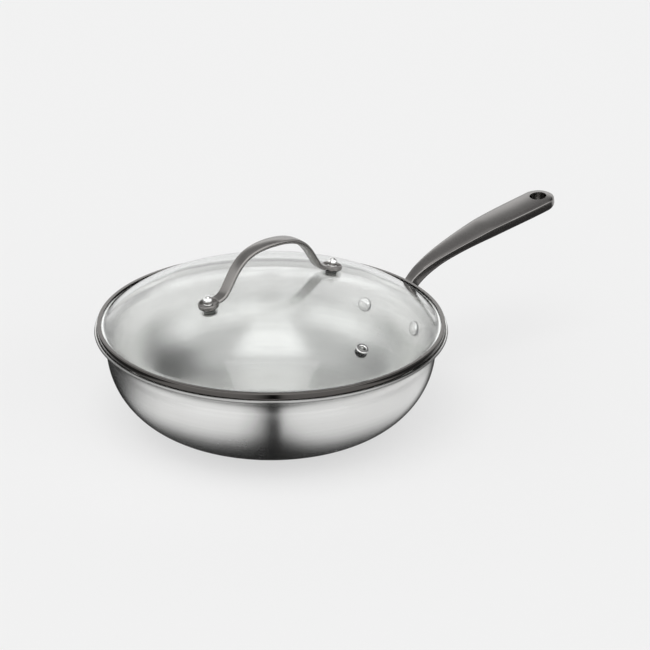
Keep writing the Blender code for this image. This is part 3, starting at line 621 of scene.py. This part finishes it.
def stemRings():
    root = Vector((0, 0, 0))
    root.x, root.z = wallPoint(plateMiddle, gap + plate["thickness"] / 2)
    neckReach = lipRadius + stem["neckClearance"] + stem["neckDepth"] / 2
    neck = Vector((neckReach, 0, wok["lipHeight"] + stem["neckRise"]))
    tip = Vector((lipRadius + stem["length"], 0, wok["lipHeight"] + stem["rise"]))
    rootWay, neckWay, gripWay = [uphill(stem[key]) for key in ("rootAngle", "neckAngle", "gripAngle")]
    middles, shapes = [], []
    for step in range(stem["rootStations"]):
        part = step / stem["rootStations"]
        ease = part * part * (3 - 2 * part)
        middle = bezier(root, root + stem["rootArm"] * rootWay, neck - stem["rootArm"] * neckWay, neck, part)
        middles.append(middle)
        shapes.append((between(stem["rootWidth"], stem["neckWidth"], ease),
                       between(stem["rootDepth"], stem["neckDepth"], ease), 0.0))
    for step in range(stem["stations"] + 1):
        part = 1 - (1 - step / stem["stations"]) ** stem["stationSpread"]
        middle = bezier(neck, neck + stem["neckArm"] * neckWay, tip - stem["gripArm"] * gripWay, tip, part)
        swell = min((middle.x - neck.x) / stem["swellLength"], 1.0)
        width = between(stem["neckWidth"], stem["gripWidth"], 1 - (1 - swell) ** 2)
        depth = between(stem["neckDepth"], stem["gripDepth"], swell)
        waist = (stem["neckDepth"] + stem["gripDepth"]) / 2 - stem["waistDepth"]
        depth -= waist * math.sin(math.pi * min(stem["waistSpread"] * swell, 1.0))
        left = tip.x - middle.x
        if left < stem["tipLength"]:
            closing = math.sqrt(max(1 - (1 - left / stem["tipLength"]) ** 2, 0.0))
            width *= max(closing, stem["tipWidth"])
            depth *= stem["tipDepth"] + stem["tipSwell"] * closing
        middles.append(middle)
        shapes.append((width, depth, stem["crown"] * min(width / stem["gripWidth"], 1.0)))
    return [barRing(middle, slope, *shape, stem["chamfer"])
            for middle, slope, shape in zip(middles, slopes(middles), shapes)]


def wallPlate():
    # a piece of a shell round the wall, trimmed to a long rim with round ends
    far = gap + plate["thickness"]
    steps = plate["steps"]
    distances = [plate["drop"] + plate["height"] * step / steps for step in range(steps + 1)]
    outline = [wallPoint(distance, far) for distance in distances]
    outline += [wallPoint(distance, gap) for distance in distances[::-1]]
    radius, height = wallPoint(plateMiddle, 0.0)
    half = plate["rivetSpacing"] / 2 + plate["margin"]
    sweep = 2 * math.asin(half / radius) + math.radians(plate["spareAngle"])
    made = spinPiece("wallPlate", outline, plate["sides"], closed=True, sweep=sweep)
    end = plate["height"] / 2
    rim = arc((half - end, 0), end, -90, 90, plate["endSteps"])
    rim += arc((end - half, 0), end, 90, 270, plate["endSteps"])
    rim = [Vector((plate["trimFrom"] * mm, across * mm, (height + lift) * mm)) for across, lift in rim]
    trim = drawFace("plateRim", rim)
    extrude((plate["trimDepth"] * mm, 0, 0))
    closeUp()
    joinTo(made, [trim], "INTERSECT")
    applyChange(made, "BEVEL", width=plate["edgeRound"] * mm, segments=plate["roundSegments"],
                limit_method="ANGLE", angle_limit=math.radians(plate["roundAngle"]))
    return made


longHandle = bridgePiece("longHandle", stemRings())
joinTo(longHandle, [wallPlate()])
side = bowlSide(gap)
cutters = [spinPiece("wallClearance", [(0, side[0][1])] + side, wok["sides"])]
cutters += plugs("plateHole", rivet["hole"] / 2, low=-1, high=9, places=rivetPlaces())
holeX = (lipRadius + stem["length"] - stem["holeInset"]) * mm
holeZ = (wok["lipHeight"] + stem["rise"] - stem["holeInset"] * math.tan(math.radians(stem["gripAngle"]))) * mm
cutters.append(plug("hangHole", stem["hole"] / 2, low=-25, high=25,
                    place=Matrix.Translation((holeX, 0, holeZ)), sides=96))
joinTo(longHandle, cutters, "DIFFERENCE")
smooth(longHandle, 36)
finishPiece(longHandle, "pan", darkSteel, ["long_handle"])
print("long handle made")


# Lid band: folded steel round the glass, with a skirt that hangs into the bowl
band = {"inset": 2.5, "sheet": 0.5, "topWidth": 3.2, "round": 0.9, "bend": 0.4, "skirtInset": 5.9,
        "skirtDrop": 4.2, "glass": 4.0, "seatGap": 0.25, "edgeGap": 0.5, "sides": 240}
bandRadius = lipRadius - band["inset"]
seatRise = math.sqrt((flareRadius + wok["sheet"]) ** 2 - (flareCentre[0] - bandRadius) ** 2)
bandBottom = flareStart + seatRise + gap
bandTop = bandBottom + 2 * band["sheet"] + 2 * band["seatGap"] + band["glass"]
fold = bandRadius - band["topWidth"]
foldLow = bandTop - band["sheet"]
inside = bandRadius - band["sheet"]
insideLow = bandBottom + band["sheet"]
skirt = bandRadius - band["skirtInset"]
skirtInside = skirt - band["sheet"]
skirtLow = bandBottom - band["skirtDrop"]
outline = [(fold, bandTop)] + roundTop(bandRadius, bandTop, band["round"], 8)
outline += roundLow(bandRadius, bandBottom, band["round"], 8)
outline += arc((skirt + band["bend"], bandBottom - band["bend"]), band["bend"], 90, 180, 4)
outline += [(skirt, skirtLow), (skirtInside, skirtLow), (skirtInside, insideLow), (inside, insideLow)]
outline += [(inside, foldLow), (fold, foldLow)]
lidBand = spinPiece("lidBand", outline, band["sides"], closed=True)
smooth(lidBand, 40)
finishPiece(lidBand, "lid", bandSteel, ["lid_band"])


# Lid glass: flat crown, rounder shoulder, a small fillet and a flat rim
dome = {"rise": 33.8, "crown": 380.0, "shoulder": 104.0, "footInset": 5.5, "fillet": 6.0, "edgeRound": 0.8,
        "thickness": 4.0, "sides": 240, "crownSteps": 32, "shoulderSteps": 24, "filletSteps": 8}
rimTop = bandTop - band["sheet"] - band["seatGap"]
glassRadius = bandRadius - band["sheet"] - band["edgeGap"]
domeTop = rimTop + dome["rise"]
# the shoulder's circle touches the crown's from inside and ends at the foot of the dome
crownCentre = Vector((0, domeTop - dome["crown"]))
way = Vector((bandRadius - dome["footInset"], rimTop)) - crownCentre
shift = dome["crown"] - dome["shoulder"]
along = (shift ** 2 - dome["shoulder"] ** 2 + way.length_squared) / (2 * way.length)
across = math.sqrt(shift ** 2 - along ** 2)
way.normalize()
shoulderCentre = crownCentre + along * way + across * Vector((-way.y, way.x))
joinLean = math.degrees(math.atan2(shoulderCentre.x, shoulderCentre.y - crownCentre.y))


def glassFace(depth):
    span = dome["shoulder"] + dome["fillet"]
    turn = math.degrees(math.asin((rimTop + dome["fillet"] - shoulderCentre.y) / span))
    filletCentre = (shoulderCentre.x + span * cosine(turn), rimTop + dome["fillet"])
    face = arc(crownCentre, dome["crown"] - depth, 90, 90 - joinLean, dome["crownSteps"])
    face[0] = (0, face[0][1])
    face += arc(shoulderCentre, dome["shoulder"] - depth, 90 - joinLean, turn, dome["shoulderSteps"])[1:]
    return face + arc(filletCentre, dome["fillet"] + depth, turn - 180, -90, dome["filletSteps"])[1:]


def domePlace(direction, reach):
    # a place on the glass, with Z straight out of it
    centre, radius = crownCentre, dome["crown"]
    if reach > dome["crown"] * sine(joinLean):
        centre, radius = shoulderCentre, dome["shoulder"]
    lean = math.asin((reach - centre.x) / radius)
    middle = Matrix.Translation((centre.x * mm, 0, centre.y * mm))
    about = Matrix.Rotation(math.radians(direction), 4, "Z") @ middle
    return about @ Matrix.Rotation(lean, 4, "Y") @ Matrix.Translation((0, 0, radius * mm))


eye = {"span": 128.6, "diameter": 17.2, "thickness": 4.0, "round": 0.9, "recess": 13.6, "recessDepth": 1.6,
       "recessFlare": 0.4, "recessRound": 0.5, "hole": 5.0, "sides": 72}
stud = {"shank": 4.4, "head": 8.2, "headHeight": 7.4, "tail": 8.4, "tailHeight": 1.5,
        "neck": ((0.80, 0.6), (0.92, 0.25), (0.92, 0.0))}
gasket = {"diameter": 13.2, "thickness": 0.8, "topRound": 0.3, "lowRound": 0.2, "sleeveWall": 0.7,
          "sleeveShort": 2.8, "bore": 5.0}
seal = {"diameter": 9.6, "thickness": 1.2, "topEdge": 0.2, "lowRound": 0.5, "washer": 13.0,
        "washerThickness": 1.0, "washerRound": 0.3}
vent = {"reach": 116.5, "bore": 5.5, "tubeWall": 0.7, "flange": 10.6, "flangeThickness": 1.2,
        "mouthRound": 0.9, "flangeRound": 0.6, "foot": 10.2, "footThickness": 0.9, "footEdge": 0.2,
        "footRound": 0.4, "sealWall": 0.6, "sealFlange": 10.0, "sealThickness": 0.7, "sealEdge": 0.2}
eyePlaces = {"Rear": domePlace(0, eye["span"] / 2), "Front": domePlace(180, eye["span"] / 2)}
ventPlace = domePlace(-90, vent["reach"])

outline = glassFace(0.0) + roundTop(glassRadius, rimTop, dome["edgeRound"], 5)
outline += roundLow(glassRadius, rimTop - dome["thickness"], dome["edgeRound"], 5)
outline += glassFace(dome["thickness"])[::-1]
lidGlass = spinPiece("lidGlass", outline, dome["sides"])
studHole = gasket["bore"] / 2 + gasket["sleeveWall"] + gap
ventHole = vent["bore"] / 2 + vent["tubeWall"] + vent["sealWall"] + 2 * gap
holes = plugs("glassHole", studHole, low=-8, high=4, places=eyePlaces, sides=64)
holes.append(plug("glassHoleVent", ventHole, low=-8, high=4, place=ventPlace, sides=64))
cutSmooth(lidGlass, holes, 50)
finishPiece(lidGlass, "lid", glassClear, ["lid_glass"])
print("band and glass made")


# Lid handle: one strap, bent down to an eye at each foot
strap = {"clearance": 33.6, "gripWidth": 13.6, "footWidth": 9.6, "thickness": 4.8, "chamfer": 0.8,
         "kneeInset": 18.4, "kneeHeight": 7.9, "kneeAngle": 57.3, "crownArm": 31.9, "shoulderArm": 16.7,
         "shinArm": 9.1, "footArm": 12.0, "footStep": 0.2, "crown": 0.9, "crownStations": 26,
         "legStations": 20}
eyeLow = gasket["thickness"] + 2 * gap
eyeTop = eyeLow + eye["thickness"]


def strapRings():
    place = eyePlaces["Rear"]
    foot = place @ Vector((0, 0, (eyeLow + eye["thickness"] / 2) * mm)) / mm
    downhill = (place.to_3x3() @ Vector((1, 0, 0))).normalized()
    top = Vector((0, 0, domeTop + strap["clearance"] + strap["thickness"] / 2))
    knee = Vector((eye["span"] / 2 - strap["kneeInset"], 0, domeTop + strap["kneeHeight"]))
    kneeWay = uphill(-strap["kneeAngle"])
    half = [bezier(top, top + Vector((strap["crownArm"], 0, 0)), knee - strap["shoulderArm"] * kneeWay, knee,
                   step / strap["crownStations"]) for step in range(strap["crownStations"])]
    half += [bezier(knee, knee + strap["shinArm"] * kneeWay, foot - strap["footArm"] * downhill, foot,
                    step / strap["legStations"]) for step in range(strap["legStations"] + 1)]
    line = [Vector((-point.x, 0, point.z)) for point in half[:0:-1]] + half
    footThickness = eye["thickness"] - 2 * strap["footStep"]
    rings = []
    for point, slope in zip(line, slopes(line)):
        share = abs(point.x) / foot.x
        width = between(strap["gripWidth"], strap["footWidth"], share)
        thickness = between(strap["thickness"], footThickness, share)
        crown = strap["crown"] * (1 - share)
        rings.append(barRing(point, slope, width, thickness, crown, strap["chamfer"], crown))
    return rings


def atEyes(name, outline):
    return [putInPlace(spinPiece(name + key, outline, eye["sides"]), place)
            for key, place in eyePlaces.items()]


lidHandle = bridgePiece("lidHandle", strapRings())
outline = roundTop(eye["diameter"] / 2, eyeTop, eye["round"], 6)
outline += roundLow(eye["diameter"] / 2, eyeLow, eye["round"], 6)
joinTo(lidHandle, atEyes("eyeDisc", outline))
floor = eyeTop - eye["recessDepth"]
flare = eye["recess"] / 2 + eye["recessFlare"]
outline = [(flare, floor + 8), (flare, floor + eye["recessDepth"])]
outline += roundLow(eye["recess"] / 2, floor, eye["recessRound"], 5)
cutters = atEyes("eyeRecess", outline)
cutters += plugs("eyeHole", eye["hole"] / 2, low=0, high=floor + 2, places=eyePlaces)
joinTo(lidHandle, cutters, "DIFFERENCE")
smooth(lidHandle, 36)
finishPiece(lidHandle, "lid", strapSteel, ["lid_handle"])


# Studs, gaskets, seals and washers of the lid handle
bore = gasket["bore"] / 2
sleeve = bore + gasket["sleeveWall"]
sleeveLow = gasket["sleeveShort"] - dome["thickness"]
gasketTop = gap + gasket["thickness"]
edge = seal["diameter"] / 2
sealTop = -dome["thickness"] - gap - edge ** 2 / 2 / (dome["crown"] - dome["thickness"])
sealLow = sealTop - seal["thickness"]
washerLow = sealLow - gap - seal["washerThickness"]
tailTop = washerLow - gap
studSeat = floor + gap
head = stud["head"] / 2
gasketOutline = [(bore, gasketTop)] + roundTop(gasket["diameter"] / 2, gasketTop, gasket["topRound"], 4)
gasketOutline += roundLow(gasket["diameter"] / 2, gap, gasket["lowRound"], 3)
gasketOutline += [(sleeve, gap), (sleeve, sleeveLow), (bore, sleeveLow)]
sealOutline = [(bore, sealTop), (edge - seal["topEdge"], sealTop), (edge, sealTop - seal["topEdge"])]
sealOutline += roundLow(edge, sealLow, seal["lowRound"], 4) + [(bore, sealLow)]
washerOutline = [(bore, sealLow - gap), (seal["washer"] / 2, sealLow - gap)]
washerOutline += roundLow(seal["washer"] / 2, washerLow, seal["washerRound"], 4) + [(bore, washerLow)]
studOutline = [(0, studSeat + stud["headHeight"])]
studOutline += arc((0, studSeat + stud["headHeight"] - head), head, 82, -25, 14)
studOutline += [(head * share, studSeat + height) for share, height in stud["neck"]]
studOutline += [(stud["shank"] / 2, studSeat), (stud["shank"] / 2, tailTop), (stud["tail"] / 2, tailTop)]
studOutline += tailDome(stud["tail"] / 2, tailTop, -stud["tailHeight"], range(80, -1, -10))
fittings = (("lidGasket", "lid_gasket_", gasketOutline, True, "black_silicone", siliconeBlack),
            ("lidSeal", "lid_seal_", sealOutline, True, "clear_silicone", siliconeClear),
            ("lidWasher", "lid_washer_", washerOutline, True, "bright_steel", rivetSteel),
            ("lidStud", "lid_stud_", studOutline, False, "polished_steel", polishedSteel))
for key, place in eyePlaces.items():
    for name, node, outline, closed, slot, material in fittings:
        addFitting(name + key, outline, closed, place, "lid", material, node + key.lower())
print("lid handle made")


# Steam vent: a rolled eyelet in a soft seal
bore = vent["bore"] / 2
tube = bore + vent["tubeWall"]
sealInner = tube + gap
sealOuter = sealInner + vent["sealWall"]
lip = vent["sealFlange"] / 2
sealHigh = gap + vent["sealThickness"]
under = -dome["thickness"] - gap - lip ** 2 / 2 / (dome["shoulder"] - dome["thickness"])
sealFoot = under - vent["sealThickness"]
outline = [(sealInner, sealHigh), (lip - vent["sealEdge"], sealHigh), (lip, sealHigh - vent["sealEdge"])]
outline += [(lip, gap), (sealOuter, gap), (sealOuter, under), (lip, under), (lip, sealFoot)]
outline.append((sealInner, sealFoot))
addFitting("ventSeal", outline, True, ventPlace, "lid", siliconeBlack, "vent_seal")
seat = sealHigh + gap
top = seat + vent["flangeThickness"]
edge = vent["flange"] / 2
foot = vent["foot"] / 2
footTop = sealFoot - gap
footLow = footTop - vent["footThickness"]
outline = arc((bore + vent["mouthRound"], top - vent["mouthRound"]), vent["mouthRound"], 180, 90, 8)
outline += roundTop(edge, top, vent["flangeRound"], 6) + [(edge, seat), (tube, seat), (tube, footTop)]
outline += [(foot - vent["footEdge"], footTop)] + roundLow(foot, footLow, vent["footRound"], 4)
outline.append((bore, footLow))
addFitting("ventEyelet", outline, True, ventPlace, "lid", polishedSteel, "vent_eyelet")

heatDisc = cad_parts["heat_spreader_disc"]
for materialSlot in heatDisc.material_slots:
    materialSlot.material = discAluminium
print("vent made")


# Floor, light and camera
studio = {"pale": 0.871, "floorColour": 0.87, "floorWear": 0.98, "floorSize": 24, "floorDrop": 0.2,
          "shadowFill": 0.7, "backdrop": 0.9, "strip": 1.4, "wall": 1.6, "ceiling": 0.66, "leftCorner": 0.42,
          "rightCorner": 0.05, "rightSide": 0.4, "slit": 0.05, "slitAside": 0.04, "sunStrength": 0.85,
          "sunAngle": 40, "sunUp": 2.0, "sunBack": 0.7, "sunLeft": 0.3, "softboxHeight": 1.2,
          "softboxSize": (0.62, 1.36), "softboxAhead": -0.42, "softboxRadiance": 0.8}
# where the parts of the room fade into each other, as cosines to the right, upwards or to the camera
fades = {"cornerAcross": (-0.1, 0.6), "sideAcross": (0.5, 0.9), "stripAcross": (0.5, 0.85),
         "slitAcross": (0.05, 0.19), "slitTop": (0.16, 0.3), "stripStarts": (0.2, 0.34),
         "stripEnds": (0.42, 0.6), "ceilingBehind": (0.75, 0.92), "ceilingInFront": (0.5, 0.8),
         "wallEnds": (-0.4, 0.5)}
up = Vector((0, 0, 1))


def mixShaders(tree, factor, first, second):
    blend = addNode(tree, "MixShader", {0: factor, 1: first, 2: second})
    tree.links.new(blend, tree.nodes["Material Output"].inputs["Surface"])


def studioFloor():
    bpy.ops.object.select_all(action="DESELECT")
    bpy.ops.mesh.primitive_grid_add(x_subdivisions=8, y_subdivisions=8, size=studio["floorSize"],
                                    location=up * -studio["floorDrop"] * mm)
    made = bpy.context.object
    made.name = "floor"
    bpy.ops.object.transform_apply()
    material, tree, shader = newMaterial("paleFloor")
    smudge = placeGroup(tree, smudged, Size=3.0, Amount=0.1)
    pale = (studio["floorColour"],) * 3
    worn = (studio["floorColour"] * studio["floorWear"],) * 3
    feed(tree, shader, {"Base Color": mixColour(tree, smudge["Mask"], pale, worn), "Roughness": 0.9,
                        "Specular IOR Level": 0.0})
    # the camera, the glass and the metal see the shadow softened, as under a lit table
    ray = given(tree, "LightPath")
    direct = addMath(tree, "MAXIMUM", ray["Is Camera Ray"], ray["Is Transmission Ray"])
    direct = addMath(tree, "MAXIMUM", direct, ray["Is Glossy Ray"])
    mixShaders(tree, times(tree, direct, studio["shadowFill"]), shader.outputs[0],
               addNode(tree, "Emission", {"Strength": studio["pale"]}))
    material.cycles.emission_sampling = "NONE"
    made.data.materials.append(material)


def studioWorld():
    # pale for the camera; all else sees a bright wall behind the camera, with a dark slit low in it,
    # and beyond the pan a greyer room with one bright strip
    world = bpy.data.worlds.new("studio")
    bpy.context.scene.world = world
    world.use_nodes = True
    tree = world.node_tree
    way = given(tree, "TexCoord")["Generated"]
    high = alongWay(tree, way, up)
    flat = addMath(tree, "SQRT", addMath(tree, "SUBTRACT", 1.0, times(tree, high, high)))
    flat = addMath(tree, "MAXIMUM", flat, 0.01)
    facing = addMath(tree, "DIVIDE", alongWay(tree, way, -ahead), flat)
    beside = addMath(tree, "DIVIDE", alongWay(tree, way, right), flat)
    bothSides = addMath(tree, "ABSOLUTE", beside)
    corner = fade(tree, beside, *fades["cornerAcross"], studio["leftCorner"], studio["rightCorner"])
    sideways = fade(tree, beside, *fades["sideAcross"], studio["backdrop"], studio["rightSide"])
    strip = fade(tree, bothSides, *fades["stripAcross"], studio["strip"], sideways)
    behind = fade(tree, high, *fades["stripStarts"], sideways, strip)
    behind = fade(tree, high, *fades["stripEnds"], behind, corner)
    behind = fade(tree, high, *fades["ceilingBehind"], behind, studio["ceiling"])
    front = fade(tree, high, *fades["ceilingInFront"], studio["wall"], studio["ceiling"])
    slit = addMath(tree, "ABSOLUTE", addMath(tree, "SUBTRACT", beside, studio["slitAside"]))
    slit = fade(tree, slit, *fades["slitAcross"], studio["slit"], 1.0)
    slit = fade(tree, high, *fades["slitTop"], slit, 1.0)
    front = times(tree, front, slit)
    seen = fade(tree, facing, *fades["wallEnds"], behind, front)
    camera = given(tree, "LightPath")["Is Camera Ray"]
    hidden = addMath(tree, "SUBTRACT", 1.0, camera)
    strength = addMath(tree, "ADD", times(tree, camera, studio["pale"]), times(tree, hidden, seen))
    feed(tree, tree.nodes["Background"], {"Color": (1, 1, 1), "Strength": strength})


def hideFrom(made, *rays):
    for ray in rays:
        setattr(made, "visible_" + ray, False)


def addLamp(name, kind, place, target):
    data = bpy.data.lights.new(name, kind)
    lamp = bpy.data.objects.new(name, data)
    bpy.context.scene.collection.objects.link(lamp)
    lamp.location = place
    lamp.rotation_euler = (Vector(target) - Vector(place)).to_track_quat("-Z", "Y").to_euler()
    return lamp


def studioLamps():
    place = up * studio["sunUp"] - ahead * studio["sunBack"] - right * studio["sunLeft"]
    sun = addLamp("sun", "SUN", place, (0, 0, 0))
    sun.data.energy = studio["sunStrength"]
    sun.data.angle = math.radians(studio["sunAngle"])
    hideFrom(sun, "glossy", "transmission")
    place = up * studio["softboxHeight"] + ahead * studio["softboxAhead"]
    softbox = addLamp("softbox", "AREA", place, place - up)
    softbox.rotation_euler = (0, 0, math.atan2(right.y, right.x))
    softbox.data.shape = "RECTANGLE"
    softbox.data.size, softbox.data.size_y = studio["softboxSize"]
    area = softbox.data.size * softbox.data.size_y
    softbox.data.energy = studio["softboxRadiance"] * math.pi * area
    hideFrom(softbox, "camera", "diffuse")


def addCurve(tree, value, points):
    made = tree.nodes.new("ShaderNodeFloatCurve")
    curve = made.mapping.curves[0]
    for spare in points[2:]:
        curve.points.new(0.5, 0.5)
    for point, place in zip(curve.points, points):
        point.location = place
        point.handle_type = "AUTO_CLAMPED"
    made.mapping.update()
    tree.links.new(value, made.inputs["Value"])
    return made.outputs[0]


def flagMaterial(name, shade=0.004):
    made, tree, shader = newMaterial(name)
    feed(tree, shader, {"Base Color": (shade,) * 3, "Roughness": 1.0, "Specular IOR Level": 0.0})
    return made, tree, shader


def stageFlag(made):
    # only reflections see a flag
    hideFrom(made, "camera", "diffuse", "transmission", "shadow")


flag = {"near": 275, "far": 900, "behind": 350, "front": -350, "height": 0.9, "shade": 0.08}


def sideFlag(name, side):
    corners = [(flag["near"], flag["front"]), (flag["far"], flag["front"]), (flag["far"], flag["behind"]),
               (flag["near"], flag["behind"])]
    made = drawFace(name, [(right * across * side + ahead * forward + up * flag["height"]) * mm
                           for across, forward in corners])
    bpy.ops.object.mode_set(mode="OBJECT")
    made.data.materials.append(flagMaterial(name, flag["shade"])[0])
    stageFlag(made)


# How clear the disc is: by distance from the axis, by direction from the far side round to the near one,
# and in the line to the front from left to right, further out and near the pan
gobo = {"radius": 620, "edgeStarts": 560, "sideStarts": 300, "sideEnds": 430, "turn": 18, "height": 0.5,
        "leftShare": 1.06, "leftAcross": (0.25, 0.45), "rightShare": 1.14, "rightAcross": (0.53, 0.78),
        "lineNear": (0.12, 0.2), "lineFacing": (0.5, 0.6), "sides": 96,
        "underRimShadow": [(0, 0), (0.171, 0), (0.19, 0.02), (0.216, 0.15), (0.242, 0.52), (0.266, 0.78),
                     (0.29, 0.92), (0.327, 0.98), (0.371, 1), (0.565, 1), (1, 1)],
        "roundIt": [(0, 0.04), (0.05, 0.03), (0.1, 0.02), (0.2, 0.02), (0.3, 0.08), (0.4, 0.33),
                    (0.48, 0.64), (0.57, 0.88), (0.68, 1), (0.8, 1), (0.9, 0.97), (1, 0.92)],
        "frontLine": [(0, 1), (0.34, 1), (0.40, 0.88), (0.46, 0.53), (0.495, 0.18), (0.52, 0.02),
                      (0.544, 0.24), (0.57, 0.76), (0.625, 0.95), (0.7, 1), (1, 1)],
        "nearLine": [(0, 1), (0.36, 1), (0.44, 0.7), (0.52, 0.3), (0.6, 0.7), (0.68, 1), (1, 1)]}


def floorGobo():
    # a graded black disc round the pan: dark under the rim as a painted shadow of the pan, at both sides, and
    # in one line to the front
    bpy.ops.object.select_all(action="DESELECT")
    bpy.ops.mesh.primitive_circle_add(vertices=gobo["sides"], radius=gobo["radius"] * mm, fill_type="NGON",
                                      location=up * gobo["height"] * mm)
    made = bpy.context.object
    made.name = "floorGobo"
    bpy.ops.object.transform_apply()
    material, tree, shader = flagMaterial("floorGobo")
    place = objectPlace(tree)
    across = alongWay(tree, place, right)
    radius = radiusOf(tree, alongWay(tree, place, -ahead), across)
    rotated = alongWay(tree, place, right * sine(gobo["turn"]) - ahead * cosine(gobo["turn"]))
    facing = addMath(tree, "MULTIPLY_ADD", addMath(tree, "DIVIDE", rotated, radius), 0.5, 0.5)
    sideways = addMath(tree, "MULTIPLY_ADD", addMath(tree, "DIVIDE", across, radius), 0.5, 0.5)
    sides = addCurve(tree, facing, gobo["roundIt"])
    sides = fade(tree, radius, gobo["sideStarts"] * mm, gobo["sideEnds"] * mm, sides, 1.0)
    # the dark under the rim ends a little earlier at both sides
    share = addMath(tree, "DIVIDE", radius, gobo["radius"] * mm)
    leftShare = fade(tree, sideways, *gobo["leftAcross"], gobo["leftShare"], 1.0)
    rightShare = fade(tree, sideways, *gobo["rightAcross"], 1.0, gobo["rightShare"])
    share = times(tree, times(tree, share, leftShare), rightShare)
    line = addCurve(tree, sideways, gobo["frontLine"])
    near = fade(tree, radius, *gobo["lineNear"], addCurve(tree, sideways, gobo["nearLine"]), 1.0)
    line = fade(tree, facing, *gobo["lineFacing"], 1.0, times(tree, line, near))
    line = fade(tree, radius, gobo["edgeStarts"] * mm, gobo["radius"] * mm, line, 1.0)
    # under the rim the disc is a painted shadow of the pan, seen where the metal mirrors the floor
    clear = times(tree, addCurve(tree, share, gobo["underRimShadow"]), times(tree, sides, line))
    mixShaders(tree, clear, shader.outputs[0], addNode(tree, "BsdfTransparent", {}))
    made.data.materials.append(material)
    stageFlag(made)


view = {"azimuth": -39.5, "elevation": 23.98, "roll": 0.45, "distance": 2.2, "lens": 146.55, "sensor": 36,
        "aimAcross": 0.04463, "aimUp": 0.08648}


def addCamera():
    right = Vector((cosine(view["azimuth"]), sine(view["azimuth"]), 0))
    ahead = Vector((-sine(view["azimuth"]), cosine(view["azimuth"]), 0))
    back = up * sine(view["elevation"]) - ahead * cosine(view["elevation"])
    above = back.cross(right)
    place = right * view["aimAcross"] + up * view["aimUp"] + back * view["distance"]
    across = right * cosine(view["roll"]) + above * sine(view["roll"])
    upright = above * cosine(view["roll"]) - right * sine(view["roll"])
    data = bpy.data.cameras.new("photoView")
    data.lens = view["lens"]
    data.sensor_width = view["sensor"]
    camera = bpy.data.objects.new("photoView", data)
    bpy.context.scene.collection.objects.link(camera)
    turn = Matrix((across, upright, back)).transposed()
    camera.matrix_world = Matrix.Translation(place) @ turn.to_4x4()
    bpy.context.scene.camera = camera
    return right, ahead


right, ahead = addCamera()
studioFloor()
studioWorld()
studioLamps()
floorGobo()
sideFlag("flagLeft", -1)
sideFlag("flagRight", 1)
bpy.context.scene.view_settings.view_transform = "Standard"
print("studio made")
